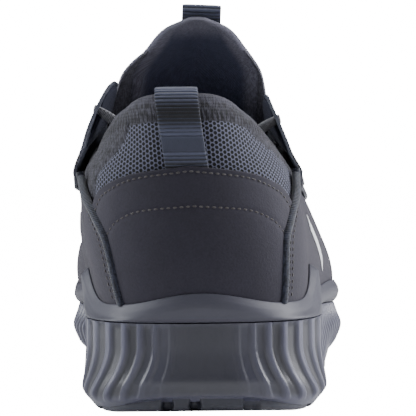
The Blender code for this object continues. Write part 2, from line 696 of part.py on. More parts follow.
# Top edge of a quarter panel, along it from its rear edge to the toe cap
QUARTER_COLUMNS = ("along", "height")
QUARTER_TOP = ((0.0, 0.630), (0.12, 0.590), (0.30, 0.560), (0.55, 0.420), (0.78, 0.300), (1.0, 0.235))
SIDE_COLUMNS = (6, 26)
TOE_CAP_BACK = SIDE_COLUMNS[1] / UPPER_COLUMNS
QUARTER_FRONT = TOE_CAP_BACK - PANEL_GAP


def build_quarter(name, mirrored, finish):
    """A side panel, from beside the counter to the toe cap."""
    ahead = np.arange(SIDE_COLUMNS[0], SIDE_COLUMNS[1] + 1) / UPPER_COLUMNS
    ahead[-1] = QUARTER_FRONT
    low, high = REAR[0][1], REAR[-1][1]
    a = (np.concatenate([np.linspace(low, high, 4), ahead]) - low) / (QUARTER_FRONT - low)
    b = np.linspace(0, 1, 5)[:, None]
    at, edge = column(QUARTER_TOP, QUARTER_COLUMNS, "along"), column(QUARTER_TOP, QUARTER_COLUMNS, "height")
    height = COUNTER_FOOT + (ease(at, edge, a)[None, :] - COUNTER_FOOT) * b
    rear = rear_edge(height[:, :4])
    back = rear + (ahead[0] - rear) * np.array([0.0, 0.25, 0.5, 0.75])
    u = np.concatenate([back, np.tile(ahead, (5, 1))], axis=1)
    if mirrored:
        u = 1 - u
    return overlay(name, u, share_for_height(u, height * QUARTER_HEIGHT), finish)


def build_toe_cap(finish):
    """The panel over the protective toe."""
    a = np.linspace(0, 1, UPPER_COLUMNS - 2 * SIDE_COLUMNS[1] + 1)[None, :]
    b = np.linspace(0, 1, 7)[:, None]
    u = TOE_CAP_BACK + (1 - 2 * TOE_CAP_BACK) * a
    reach = share_for_height(u, (0.235 + 0.190 * np.sin(math.pi * a) ** 0.7) * QUARTER_HEIGHT)
    foot = share_for_height(u, np.full_like(u, COUNTER_FOOT * QUARTER_HEIGHT))
    return overlay("toe_cap", u, foot + (reach - foot) * b, finish)


# Lower and upper edge of an eyestay, from its free rear edge to the throat's front; stand is the
# share of WING_STAND by which it clears the collar
EYESTAY_COLUMNS = ("around", "low", "high", "stand")
EYESTAY = (
    (0.118, 0.610, 0.640, 0.40),
    (0.130, 0.575, 0.800, 0.90),
    (0.145, 0.565, 0.970, 0.90),
    (0.158, 0.560, 0.995, 0.60),
    (0.178, 0.550, 0.915, 0.20),
    (0.205, 0.530, 0.862, 0.00),
    (0.260, 0.500, 0.765, 0.00),
    (0.315, 0.480, 0.652, 0.00),
    (0.345, 0.520, 0.612, 0.00),
)
WING_TOP = {False: 1.005, True: 1.065}


def build_eyestay(name, mirrored, finish):
    """A lace facing: its rear corner stands off the collar as a wing."""
    at = column(EYESTAY, EYESTAY_COLUMNS, "around")
    u = np.array([0.118, 0.126, 0.135, 0.145, 0.155, 0.166, 0.180, 0.198, 0.220, 0.250, 0.285,
                  0.317, 0.345])[None, :]
    b = np.linspace(0, 1, 5)[:, None]
    low = ease(at, column(EYESTAY, EYESTAY_COLUMNS, "low"), u)
    high = ease(at, column(EYESTAY, EYESTAY_COLUMNS, "high"), u)
    high = high * (1 + (WING_TOP[mirrored] - 1) * rise(0.215 - u, 0.0, 0.050))
    stand = SKIN_GAP + WING_STAND * ease(at, column(EYESTAY, EYESTAY_COLUMNS, "stand"), u)
    stand = stand * (0.35 + 0.65 * rise(b, 0.0, 0.5)) + SKIN_GAP + OVERLAY_THICK
    u = np.broadcast_to(u, (5, u.shape[1]))
    if mirrored:
        u = 1 - u
    v = share_for_height(u, (low + (high - low) * b) * QUARTER_HEIGHT)
    return overlay(name, u, v, finish, stand)


# The tongue from its sewn end to its top: its middle line back and up, its half width, how far its
# sides bend back, its middle's shift to the inner side, and its pad
TONGUE_COLUMNS = ("back", "up", "half", "bend", "shift", "pad")
TONGUE = (
    (0.000, 0.330, 0.80, 0.060, 0.10, 0.35),
    (0.140, 0.385, 0.82, 0.080, 0.16, 0.60),
    (0.310, 0.455, 0.82, 0.105, 0.34, 0.80),
    (0.480, 0.523, 0.79, 0.130, 0.52, 0.90),
    (0.640, 0.592, 0.82, 0.150, 0.60, 0.95),
    (0.800, 0.700, 0.87, 0.155, 0.52, 1.00),
    (0.905, 0.835, 0.85, 0.135, 0.38, 1.00),
    (0.960, 0.920, 0.63, 0.090, 0.30, 0.95),
    (0.988, 0.970, 0.42, 0.038, 0.26, 0.80),
    (1.000, 1.000, 0.12, 0.008, 0.24, 0.56),
)


def tongue_middle(t, name):
    """A column of the tongue's table, read at the share t of its rows."""
    at = np.linspace(0, 1, len(TONGUE))
    return ease(at, column(TONGUE, TONGUE_COLUMNS, name), t)


def tongue_point(t, side, deep):
    """A point of the tongue: side runs from -1 to 1, deep is the real offset off its middle."""
    t, side = np.broadcast_arrays(np.asarray(t, float), np.asarray(side, float))
    step = 1e-3
    back, up = tongue_middle(t, "back"), tongue_middle(t, "up")
    dy = -TONGUE_REACH * (tongue_middle(t + step, "back") - tongue_middle(t - step, "back"))
    dz = TONGUE_RISE * (tongue_middle(t + step, "up") - tongue_middle(t - step, "up"))
    size = np.hypot(dy, dz)
    out_y, out_z = dz / size, -dy / size
    half = TONGUE_WIDTH / 2 * tongue_middle(t, "half")
    sag = TONGUE_WIDTH * tongue_middle(t, "bend")
    x = half * side + LEAN * tongue_middle(t, "shift")
    turn = np.arctan2(2 * sag * side, half)
    off = -sag * side**2 + deep * np.cos(turn)
    y = TONGUE_START_Y - TONGUE_REACH * back + off * out_y
    z = HEEL_STACK + TONGUE_RISE * up + off * out_z
    return np.stack([x + deep * np.sin(turn), y, z], -1)


def build_tongue(finish):
    """The padded tongue, thinner along its rim."""
    t = np.array([0, 0.12, 0.25, 0.40, 0.54, 0.66, 0.75, 0.82, 0.88, 0.93, 0.97, 1.0])[:, None]
    side = np.array([-1, -0.9, -0.68, -0.36, 0, 0.36, 0.68, 0.9, 1])[None, :]
    rim = np.sqrt(np.clip(1 - np.abs(side) ** 5, 0.0, 1.0))
    pad = TONGUE_RIM * 0.45 + (TONGUE_PAD * tongue_middle(t, "pad") - TONGUE_RIM * 0.45) * rim
    pad = np.maximum(pad, TONGUE_RIM * 0.45)
    return sheet_solid("tongue", tongue_point(t, side, pad / 2), tongue_point(t, side, -pad / 2), finish)


def strip_solid(name, path, across, width, thick, finish):
    """A webbing strip: its middle path, the direction across it at each point, and its sizes."""
    path, across = np.asarray(path, float), np.asarray(across, float)
    along = np.gradient(path, axis=0)
    off = np.cross(along, across)
    off = off / np.linalg.norm(off, axis=-1, keepdims=True)
    outer = np.stack([path + across * s * width + off * thick / 2 for s in (-0.5, 0, 0.5)], 1)
    inner = np.stack([path + across * s * width - off * thick / 2 for s in (-0.5, 0, 0.5)], 1)
    return sheet_solid(name, outer, inner, finish)


# The share around at which the heel loop crosses the collar
HEEL_LOOP_AT = -0.0045


def build_heel_loop(finish):
    """The pull loop: up the outside from the counter's edge, over the collar and down inside."""
    u = np.array([HEEL_LOOP_AT])
    top = float(collar_share(u)[0])
    off = HEEL_LOOP_STAND + WEBBING_THICK / 2
    start = float(share_for_height(u, np.array([0.700 * QUARTER_HEIGHT]))[0])
    path = []
    for t in np.linspace(0, 1, 7):
        v = start + (top - start) * t
        lean = u + HEEL_LOOP_LEAN * (1 - t)
        path.append(last_out(lean, np.array([v]), collar_roll(lean, v) + off)[0])
    depth = float(pad_depth(u, 1.0)[0])
    up = (last_point(u, np.array([top])) - last_point(u, np.array([top * 0.97])))[0]
    up = up / np.linalg.norm(up)
    for turn in np.radians([35, 65, 90, 115, 145]):
        out = -depth / 2 + (depth / 2 + off) * math.cos(turn)
        point = last_out(u, np.array([top]), np.array([out]))[0]
        path.append(point + up * (depth * 0.42 + off) * math.sin(turn))
    for t in (1.0, 0.95, 0.90, 0.85):
        path.append(last_out(u, np.array([top * t]), -pad_depth(u, t) - off - 2 * SKIN_GAP)[0])
    across = np.tile([1.0, 0.0, 0.0], (len(path), 1))
    return strip_solid("heel_loop", path, across, WEBBING_WIDTH, WEBBING_THICK, finish)


def build_tongue_loop(finish):
    """The pull loop in front of the tongue's top edge: a strip folded back on itself."""
    low, high = 0.66, 0.0026
    front = TONGUE_PAD / 2 + GAP + WEBBING_THICK / 2 + 0.0004
    rise_to = HEEL_STACK + TONGUE_RISE + high
    lean = tongue_point(0.93, 0.0, front) - tongue_point(low, 0.0, front)
    lean = lean / np.linalg.norm(lean)
    near = tongue_point(low, 0.0, front)
    away = np.array([0.0, lean[2], -lean[1]])
    reach = (rise_to - near[2]) / lean[2]
    path = [near + lean * reach * s for s in (0.0, 0.3, 0.6, 0.85, 1.0)]
    radius = WEBBING_GAP / 2
    for turn in np.radians([35, 70, 110, 145]):
        centre = path[4] + away * radius
        path.append(centre - away * radius * math.cos(turn) + lean * radius * math.sin(turn))
    path += [near + away * 2 * radius + lean * reach * s for s in (1.0, 0.85, 0.6, 0.3, 0.0)]
    path = np.array(path) - np.array([TONGUE_LOOP_SHIFT + path[0][0], 0.0, 0.0])
    across = np.tile([1.0, 0.0, 0.0], (len(path), 1))
    return strip_solid("tongue_loop", path, across, WEBBING_WIDTH, WEBBING_THICK, finish)


# The lace bars: the shares around at which they leave the eyestays, and how far below an eyestay's
# top edge they end, as a share of QUARTER_HEIGHT
LACES = (0.214, 0.239, 0.264, 0.288, 0.312)
LACE_IN = 0.012


def build_lace(number, at, finish):
    """One bar of the lacing, from eyestay to eyestay over the tongue."""
    edge = column(EYESTAY, EYESTAY_COLUMNS, "around"), column(EYESTAY, EYESTAY_COLUMNS, "high")
    top = float(ease(*edge, at)) - LACE_IN
    ends = []
    for u in (1 - at, at):
        v = share_for_height(np.array([u]), np.array([top * QUARTER_HEIGHT]))
        stand = 2 * (SKIN_GAP + OVERLAY_THICK) + LACE_THICK / 2 + 4 * GAP
        ends.append(last_out(np.array([u]), v, np.array([stand]))[0])
    t = np.linspace(0, 1, 200)
    line = tongue_point(t, 0.0, TONGUE_PAD * tongue_middle(t, "pad") / 2 + LACE_THICK / 2 + 2 * GAP)
    middle = line[np.argmin(np.abs(line[:, 1] - (ends[0][1] + ends[1][1]) / 2))]
    middle[2] = max(middle[2], (ends[0][2] + ends[1][2]) / 2 + LACE_ARCH)
    s = np.linspace(-1, 1, 7)[:, None]
    chord = (ends[0] * (1 - s) + ends[1] * (1 + s)) / 2
    path = chord + (middle - (ends[0] + ends[1]) / 2) * (1 - np.abs(s) ** 3.2)
    along = np.gradient(path, axis=0)
    forward = np.tile([0.0, 0.85, -0.52], (len(path), 1))
    off = np.cross(along, forward)
    off = off / np.linalg.norm(off, axis=-1, keepdims=True)
    across = np.cross(along, off)
    across = across / np.linalg.norm(across, axis=-1, keepdims=True)
    sides = 6
    turn = np.arange(sides) / sides * TAU
    wide, thick = LACE_WIDTH / 2 * np.cos(turn), LACE_THICK / 2 * np.sin(turn)
    rings = path[:, None] + across[:, None] * wide[:, None] + off[:, None] * thick[:, None]
    last = len(path) * sides
    faces = grid_faces(len(path), sides, False, True)
    faces += [tuple(range(sides)), tuple(range(last - 1, last - sides - 1, -1))]
    return mesh_object("lace_%d" % number, rings.reshape(-1, 3), faces, finish)


def clear_scene():
    """Removes what the scene holds."""
    for made in list(bpy.data.objects):
        bpy.data.objects.remove(made, do_unlink=True)


def main():
    clear_scene()
    rubber = material("outsole_rubber", (0.030, 0.031, 0.036), 0.60)
    foam = material("midsole_foam", (0.110, 0.112, 0.125), 0.50)
    band = material("cradle_foam", (0.120, 0.121, 0.133), 0.45)
    knit = material("upper_knit", (0.050, 0.050, 0.060), 0.90)
    lining = material("tongue_knit", (0.035, 0.036, 0.045), 0.95)
    suede = material("suede", (0.045, 0.045, 0.055), 0.85)
    coated = material("eyestay_coated", (0.050, 0.055, 0.075), 0.55)
    footbed = material("footbed", (0.020, 0.021, 0.026), 0.95)
    webbing = material("webbing", (0.030, 0.032, 0.045), 0.80)
    cord = material("lace_cord", (0.080, 0.080, 0.090), 0.85)
    build_outsole(rubber)
    build_midsole(foam)
    build_cradle(band)
    build_upper(knit)
    build_insole(footbed)
    build_tongue(lining)
    build_counter(suede)
    build_quarter("quarter_lateral", False, suede)
    build_quarter("quarter_medial", True, suede)
    build_eyestay("eyestay_lateral", False, coated)
    build_eyestay("eyestay_medial", True, coated)
    build_toe_cap(suede)
    build_heel_loop(webbing)
    build_tongue_loop(webbing)
    for number, row in enumerate(LACES):
        build_lace(number + 1, row, cord)


main()
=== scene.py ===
import math

import bmesh
import bpy
import numpy as np
from mathutils import Matrix, Vector


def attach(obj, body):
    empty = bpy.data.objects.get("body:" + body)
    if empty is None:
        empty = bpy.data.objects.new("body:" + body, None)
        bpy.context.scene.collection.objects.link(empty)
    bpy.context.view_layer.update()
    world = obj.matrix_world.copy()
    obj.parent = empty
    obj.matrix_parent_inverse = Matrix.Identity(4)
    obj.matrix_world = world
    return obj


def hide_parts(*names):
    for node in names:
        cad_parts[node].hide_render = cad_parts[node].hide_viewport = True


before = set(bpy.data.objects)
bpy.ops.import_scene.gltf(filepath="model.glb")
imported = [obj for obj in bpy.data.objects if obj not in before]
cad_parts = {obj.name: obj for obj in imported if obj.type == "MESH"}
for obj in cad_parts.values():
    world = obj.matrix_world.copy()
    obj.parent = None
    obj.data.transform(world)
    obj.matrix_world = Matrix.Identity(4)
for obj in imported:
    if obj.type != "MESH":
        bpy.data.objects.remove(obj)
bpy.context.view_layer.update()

bl_info = {
    "name": "Safety Sneaker Looks",
    "version": (1, 0, 0),
    "blender": (4, 5, 0),
    "location": "3D Viewport > Sidebar > Sneaker",
    "description": "Dresses the packed sneaker with its foam, nubuck, knit, webbing and laces",
    "category": "Object",
}

# Sizes that the solids were made with
LENGTH = 0.303
BALL_WIDTH = 0.1125
HEEL_WIDTH = 0.0865
HEEL_STACK = 0.0315
BALL_DROP = 0.0048
TOE_RISE = 0.0045
OUTSOLE_THICK = 0.0052
OUTSOLE_INSET = (0.0042, 0.0068)
HEEL_BEVEL = 0.0026
ARCH_LIFT = 0.0030
TOE_SPRING = 0.0130
CRADLE_WALL = 0.0024
CRADLE_LEDGE = 0.0016
QUARTER_HEIGHT = 0.078
LEAN = -0.0066
UPPER_WALL = 0.0022
COLLAR_PAD = 0.0085
LASTING_MARGIN = 0.010
OVERLAY_THICK = 0.0012
INSOLE_THICK = 0.0045
WING_STAND = 0.0010
TONGUE_RISE = 0.1080
TONGUE_REACH = 0.1000
TONGUE_WIDTH = 0.0570
TONGUE_PAD = 0.0075
TONGUE_START_Y = 0.1420
WEBBING_WIDTH = 0.0146
WEBBING_THICK = 0.0013
GAP = 0.0003
SKIN_GAP = 2.3 * GAP
STAND = SKIN_GAP + OVERLAY_THICK + SKIN_GAP
HEEL_ORIGIN = 0.1485
HEEL_UNIT = 0.2855
BALL_UNIT = 0.3713
PANEL_GAP = 0.0012
COUNTER_FOOT = 0.030
TAU = 2 * math.pi
# How far an overlay's face stands off the last, and where a quarter's rear edge starts, as a share around
FACE = SKIN_GAP + OVERLAY_THICK
QUARTER_START = 0.052
# The sole's length around, and the depth of the arch's sewn row under its edge as a height share
SOLE_ROUND = 0.78
ARCH_SEWING = 0.0018 / QUARTER_HEIGHT
# Where the padded ankle ends, as shares around from the heel's back
ANKLE = (0.150, 0.195)
# The collar's roll: its share of the full padding, and its rise over its depth
ROLL_PAD = 0.70
ROLL_RISE = 0.42
# The tread's side: how far in from its outline each height share stands
TREAD_SIDE = ((0.0016, 0.0), (0.0007, 0.03), (0.0001, 0.14), (0.0, 0.35), (0.0, 0.65), (0.0, 0.97))
# The photograph's frame, focal length, fall of the view and shift to the side, all in pixels
FRAME = 416
FOCAL = 2372
FALL = 57
SHIFT = 5.0

# Section cards around the shoe: shares of width and height of the last
CARD_COLUMNS = (
    "around", "spine", "aim", "heel", "sole", "foot", "low_r", "low_h",
    "mid_r", "mid_h", "high_r", "high_h", "top_r", "top_h",
)
CARDS = np.array((
    (0.000, 0.115, -90.0, 1.00, 0.402, 0.330, 0.398, 0.13, 0.430, 0.36, 0.356, 0.74, 0.325, 1.040),
    (0.047, 0.115, -45.0, 1.00, 0.460, 0.366, 0.428, 0.13, 0.452, 0.36, 0.384, 0.74, 0.318, 1.030),
    (0.095, 0.155, 0.0, 1.00, 0.504, 0.386, 0.432, 0.13, 0.454, 0.34, 0.438, 0.74, 0.274, 1.020),
    (0.145, 0.250, 0.0, 0.75, 0.471, 0.380, 0.462, 0.13, 0.490, 0.34, 0.320, 0.80, 0.278, 1.040),
    (0.200, 0.345, 0.0, 0.40, 0.453, 0.378, 0.460, 0.13, 0.482, 0.36, 0.326, 0.78, 0.235, 0.950),
    (0.260, 0.470, 2.0, 0.10, 0.472, 0.400, 0.474, 0.13, 0.486, 0.37, 0.320, 0.68, 0.172, 0.800),
    (0.315, 0.570, 8.0, 0.00, 0.508, 0.436, 0.500, 0.12, 0.490, 0.36, 0.311, 0.58, 0.140, 0.680),
    (0.370, 0.620, 28.0, 0.00, 0.529, 0.449, 0.516, 0.12, 0.507, 0.36, 0.338, 0.50, 0.115, 0.620),
    (0.435, 0.620, 62.0, 0.00, 0.747, 0.665, 0.734, 0.13, 0.747, 0.48, 0.462, 0.47, 0.085, 0.602),
    (0.500, 0.620, 91.5, 0.00, 1.022, 0.930, 0.992, 0.15, 1.004, 0.58, 0.587, 0.42, 0.075, 0.598),
    (0.565, 0.620, 118.0, 0.00, 0.818, 0.735, 0.800, 0.13, 0.812, 0.48, 0.498, 0.47, 0.085, 0.602),
    (0.630, 0.620, 152.0, 0.00, 0.560, 0.480, 0.547, 0.12, 0.533, 0.37, 0.356, 0.52, 0.115, 0.620),
    (0.685, 0.570, 172.0, 0.00, 0.478, 0.405, 0.470, 0.12, 0.464, 0.38, 0.320, 0.60, 0.140, 0.690),
    (0.740, 0.470, 180.0, 0.10, 0.396, 0.328, 0.410, 0.13, 0.438, 0.40, 0.320, 0.71, 0.166, 0.815),
    (0.800, 0.345, 180.0, 0.40, 0.366, 0.302, 0.406, 0.14, 0.458, 0.41, 0.358, 0.82, 0.200, 0.980),
    (0.855, 0.250, 180.0, 0.75, 0.425, 0.350, 0.458, 0.13, 0.494, 0.38, 0.398, 0.82, 0.200, 1.130),
    (0.905, 0.155, 180.0, 1.00, 0.504, 0.386, 0.434, 0.13, 0.462, 0.34, 0.478, 0.76, 0.292, 1.040),
    (0.953, 0.115, 225.0, 1.00, 0.460, 0.366, 0.428, 0.13, 0.452, 0.36, 0.392, 0.74, 0.335, 1.035),
))
# Edges around the shoe, as rows of (around, height)
COLLAR = np.array((
    (0.000, 0.968), (0.030, 0.964), (0.055, 0.930), (0.075, 0.865), (0.095, 0.775), (0.115, 0.700),
    (0.138, 0.672), (0.160, 0.715), (0.180, 0.790), (0.205, 0.835), (0.260, 0.770), (0.315, 0.710),
    (0.370, 0.680), (0.435, 0.680), (0.500, 0.680), (0.565, 0.680), (0.630, 0.680), (0.685, 0.720),
    (0.740, 0.785), (0.795, 0.860), (0.820, 0.825), (0.840, 0.755), (0.862, 0.712), (0.885, 0.735),
    (0.905, 0.800), (0.925, 0.885), (0.945, 0.940), (0.970, 0.964),
))
EDGE = np.array((
    (0.000, 0.92), (0.030, 0.78), (0.055, 0.42), (0.085, 0.24), (0.150, 0.35), (0.230, 0.95),
    (0.300, 1.60), (0.400, 1.75), (0.500, 1.60), (0.600, 1.75), (0.700, 1.60), (0.770, 0.95),
    (0.850, 0.35), (0.915, 0.24), (0.945, 0.42), (0.970, 0.78),
))
RIM = np.array((
    (0.000, 0.137), (0.020, 0.122), (0.040, 0.094), (0.058, 0.084), (0.074, 0.110),
    (0.090, 0.210), (0.104, 0.222), (0.118, 0.205), (0.136, 0.110), (0.160, 0.086),
    (0.210, 0.100), (0.270, 0.118), (0.330, 0.112), (0.400, 0.120), (0.450, 0.160), (0.500, 0.185),
    (0.550, 0.160), (0.600, 0.120), (0.670, 0.112), (0.730, 0.118), (0.790, 0.100),
    (0.840, 0.086), (0.864, 0.110), (0.882, 0.205), (0.896, 0.222), (0.910, 0.210),
    (0.926, 0.110), (0.942, 0.084), (0.960, 0.094), (0.980, 0.122),
))
# Along the length: (along, drop, rise) of the sole's top and (along, bevel, arch, spring) of the tread
SOLE_TOP = np.array((
    (0.00, 0.00, 0.0), (0.18, 0.00, 0.0), (0.32, 0.12, 0.0), (0.46, 0.48, 0.0), (0.58, 0.86, 0.0),
    (0.68, 1.00, 0.0), (0.80, 1.00, 0.05), (0.90, 1.00, 0.35), (1.00, 1.00, 1.0),
))
TREAD = np.array((
    (0.000, 1.0, 0.0, 0.00), (0.035, 0.35, 0.0, 0.00), (0.070, 0.0, 0.0, 0.00),
    (0.300, 0.0, 0.0, 0.00), (0.400, 0.0, 1.0, 0.00), (0.480, 0.0, 1.0, 0.00),
    (0.580, 0.0, 0.0, 0.00), (0.740, 0.0, 0.0, 0.00), (0.840, 0.0, 0.0, 0.16),
    (0.920, 0.0, 0.0, 0.46), (1.000, 0.0, 0.0, 1.00),
))
# The midsole's wall from its bottom edge to the seam: (height, heel_in, fore_height, fore_in)
WALL = np.array((
    (0.000, 0.0440, 0.000, 0.0600),
    (0.190, 0.0000, 0.270, 0.0230),
    (0.420, 0.0110, 0.560, 0.0000),
    (0.700, 0.0170, 0.800, 0.0180),
    (1.000, 0.0170, 1.000, 0.0340),
))
EDGE_LOW, EDGE_FORE = 0.24, 1.40
# Panels: (height, around) of a quarter's rear edge, (side, height) of the counter's two arcs,
# (along, height) of a quarter's top edge, (around, low, high, stand) of an eyestay
REAR = np.array(((0.03, 0.0520), (0.20, 0.0525), (0.34, 0.0545), (0.46, 0.0620), (0.56, 0.0740),
                 (0.63, 0.0850)))
ARCH = np.array(((0.0, 0.680), (0.40, 0.650), (0.75, 0.585), (1.0, 0.500)))
SECOND_ARCH = np.array(((0.0, 0.506), (0.47, 0.488), (0.80, 0.440), (1.0, 0.375)))
QUARTER_TOP = np.array(((0.0, 0.630), (0.12, 0.590), (0.30, 0.560), (0.55, 0.420),
                        (0.78, 0.300), (1.0, 0.235)))
TOE_CAP_BACK = 26 / 64
EYESTAY = np.array((
    (0.118, 0.610, 0.640, 0.40), (0.130, 0.575, 0.800, 0.90), (0.145, 0.565, 0.970, 0.90),
    (0.158, 0.560, 0.995, 0.60), (0.178, 0.550, 0.915, 0.20), (0.205, 0.530, 0.862, 0.00),
    (0.260, 0.500, 0.765, 0.00), (0.315, 0.480, 0.652, 0.00), (0.345, 0.520, 0.612, 0.00),
))
WING_TOP = {1: 1.005, -1: 1.065}
# The tongue: (back, up, half, bend, shift, pad)
TONGUE = np.array((
    (0.000, 0.330, 0.80, 0.060, 0.10, 0.35), (0.140, 0.385, 0.82, 0.080, 0.16, 0.60),
    (0.310, 0.455, 0.82, 0.105, 0.34, 0.80), (0.480, 0.523, 0.79, 0.130, 0.52, 0.90),
    (0.640, 0.592, 0.82, 0.150, 0.60, 0.95), (0.800, 0.700, 0.87, 0.155, 0.52, 1.00),
    (0.905, 0.835, 0.85, 0.135, 0.38, 1.00), (0.960, 0.920, 0.63, 0.090, 0.30, 0.95),
    (0.988, 0.970, 0.42, 0.038, 0.26, 0.80), (1.000, 1.000, 0.12, 0.008, 0.24, 0.56),
))
LACES = (0.214, 0.239, 0.264, 0.288, 0.312)
GROOVES = (
    (0.115, 14), (0.190, 14), (0.262, 14), (0.560, -16), (0.612, -16), (0.664, -16),
    (0.716, -16), (0.768, -16), (0.820, -16), (0.872, -16),
)


def ring_spline(at, values, u):
    """The periodic cubic spline through values at the shares at, read at u."""
    n = len(at)
    step = np.append(np.diff(at), 1.0 - at[-1] + at[0])
    slope = (np.roll(values, -1) - values) / step
    before = np.roll(step, 1)
    matrix = np.zeros((n, n))
    rows = np.arange(n)
    matrix[rows, rows] = 2 * (before + step)
    matrix[rows, (rows - 1) % n] += before
    matrix[rows, (rows + 1) % n] += step
    bend = np.linalg.solve(matrix, 6 * (slope - np.roll(slope, 1)))
    u = np.mod(np.asarray(u, float) - at[0], 1.0) + at[0]
    k = np.clip(np.searchsorted(at, u, side="right") - 1, 0, n - 1)
    h, t = step[k], u - at[k]
    left, right = values[k], np.roll(values, -1)[k]
    m0, m1 = bend[k], np.roll(bend, -1)[k]
    cubic = (m1 - m0) / (6 * h) * t**3 + m0 / 2 * t**2
    return left + ((right - left) / h - h * (2 * m0 + m1) / 6) * t + cubic


def ease(at, values, x):
    """The monotone cubic through values at at, read at x: it never overshoots between knots."""
    x = np.clip(np.asarray(x, float), at[0], at[-1])
    step = np.diff(at)
    slope = np.diff(values) / step
    flat = slope[:-1] * slope[1:] <= 0
    total = np.where(flat, 1.0, slope[:-1] + slope[1:])
    inner = np.where(flat, 0.0, 2 * slope[:-1] * slope[1:] / total)
    tangent = np.concatenate([[slope[0]], inner, [slope[-1]]])
    k = np.clip(np.searchsorted(at, x, side="right") - 1, 0, len(step) - 1)
    t = (x - at[k]) / step[k]
    lift = (3 - 2 * t) * t * t
    pull = tangent[k] * (1 - t) ** 2 * t - tangent[k + 1] * (1 - t) * t * t
    return values[k] + (values[k + 1] - values[k]) * lift + pull * step[k]


def table(rows, x, column=1):
    """A column of a table with its knots in column 0, eased and read at x."""
    return ease(rows[:, 0], rows[:, column], x)


def rise(x, low, high):
    """0 before low, 1 after high, and a smooth step between."""
    t = np.clip((np.asarray(x, float) - low) / (high - low), 0, 1)
    return t * t * (3 - 2 * t)


def bell(x, width):
    """1 at x = 0, falling off as a bell of that half width."""
    return np.exp(-((np.asarray(x, float) / width) ** 2))


CARD = {name: CARDS[:, k] for k, name in enumerate(CARD_COLUMNS)}
PLAN_AT = np.concatenate([CARD["around"] - 1, CARD["around"], CARD["around"] + 1])


def eased(name, turn, u):
    """A card column eased around the shoe; turn is what it gains in one round."""
    values = np.concatenate([CARD[name] - turn, CARD[name], CARD[name] + turn])
    return ease(PLAN_AT, values, np.mod(u, 1.0))


def smooth(name, u):
    """A card column as a smooth closed curve around the shoe."""
    return ring_spline(CARD["around"], CARD[name], u)


def edge(rows, u):
    """A table of (around, height) as a smooth closed curve around the shoe."""
    return ring_spline(rows[:, 0], rows[:, 1], u)


def from_heel(u):
    """The share around from the heel's back, either way."""
    return np.minimum(np.mod(u, 1.0), 1 - np.mod(u, 1.0))


def length_at(share):
    """The Y of a share of the sole's length."""
    return (np.asarray(share, float) - HEEL_ORIGIN) * LENGTH


def share_at(y):
    """The share of the sole's length at Y."""
    return np.asarray(y, float) / LENGTH + HEEL_ORIGIN


def sole_top(y):
    """Height of the midsole's top."""
    along = share_at(y)
    return HEEL_STACK - BALL_DROP * table(SOLE_TOP, along) + TOE_RISE * table(SOLE_TOP, along, 2)


def tread_under(y):
    """Height of the tread's underside."""
    along = share_at(y)
    lifts = (HEEL_BEVEL, ARCH_LIFT, TOE_SPRING)
    return sum(size * table(TREAD, along, k + 1) for k, size in enumerate(lifts))


def plan(u, radius, inwards=0.0):
    """X and Y of a radius on the card at u, less a real length inwards along the card."""
    aim = np.radians(eased("aim", 360.0, u))
    heel = eased("heel", 0.0, u)
    wide = heel * HEEL_WIDTH + (1 - heel) * BALL_WIDTH
    long = (heel * HEEL_UNIT + (1 - heel) * BALL_UNIT) * LENGTH
    x = np.cos(aim) * (radius * wide - inwards)
    return x, length_at(eased("spine", 0.0, u)) + np.sin(aim) * (radius * long - inwards)


def last_point(u, v):
    """The last: each card's profile is one Bezier curve of the fourth degree in the card's plane."""
    u, v = np.broadcast_arrays(np.asarray(u, float), np.asarray(v, float))
    names = ("low", "mid", "high", "top")
    radii = [smooth("foot", u)] + [smooth(name + "_r", u) for name in names]
    heights = [np.zeros_like(u)] + [smooth(name + "_h", u) for name in names]
    weights = [math.comb(4, k) * (1 - v) ** (4 - k) * v**k for k in range(5)]
    radius = sum(w * r for w, r in zip(weights, radii))
    height = sum(w * h for w, h in zip(weights, heights))
    x, y = plan(u, radius)
    foot_y = plan(u, radii[0])[1]
    z = sole_top(foot_y) * (1 - v) + sole_top(y) * v + GAP + QUARTER_HEIGHT * height
    return np.stack([x + LEAN * height, y, z], -1)


def unit(a):
    """Vectors made one unit long."""
    return a / np.maximum(np.linalg.norm(a, axis=-1, keepdims=True), 1e-12)


def last_normal(u, v):
    """The outward direction of the last: the cross product of its two slopes."""
    step = 1e-4
    u, v = np.broadcast_arrays(np.asarray(u, float), np.asarray(v, float))
    along = last_point(u + step, v) - last_point(u - step, v)
    up = last_point(u, v + step) - last_point(u, v - step)
    return unit(np.cross(along, up))


def last_out(u, v, out):
    """A point that stands a real distance out from the last."""
    return last_point(u, v) + np.asarray(out, float)[..., None] * last_normal(u, v)


def level(u, height):
    """The v at which the last's wall reaches a share of QUARTER_HEIGHT, by bisection."""
    u, height = np.broadcast_arrays(np.asarray(u, float), np.asarray(height, float))
    low, high = np.zeros_like(height), np.ones_like(height)
    base = last_point(u, 0.0)[..., 2]
    for _ in range(22):
        middle = (low + high) / 2
        under = last_point(u, middle)[..., 2] - base < height * QUARTER_HEIGHT
        low, high = np.where(under, middle, low), np.where(under, high, middle)
    return (low + high) / 2


def foot_ring(u, inwards, height):
    """A ring at a real length inwards from the last's foot line, at the height a function of Y gives."""
    x, y = plan(u, smooth("foot", u), inwards)
    return np.stack([x, y, height(y)], -1)


def collar_roll(u, v):
    """How far the padded collar stands out from the last at v."""
    t = np.asarray(v, float) / level(u, edge(COLLAR, u))
    ankle = 1 - rise(from_heel(u), *ANKLE)
    return 0.0016 * ankle * np.sin(math.pi * np.clip((t - 0.76) / 0.30, 0, 1)) ** 2


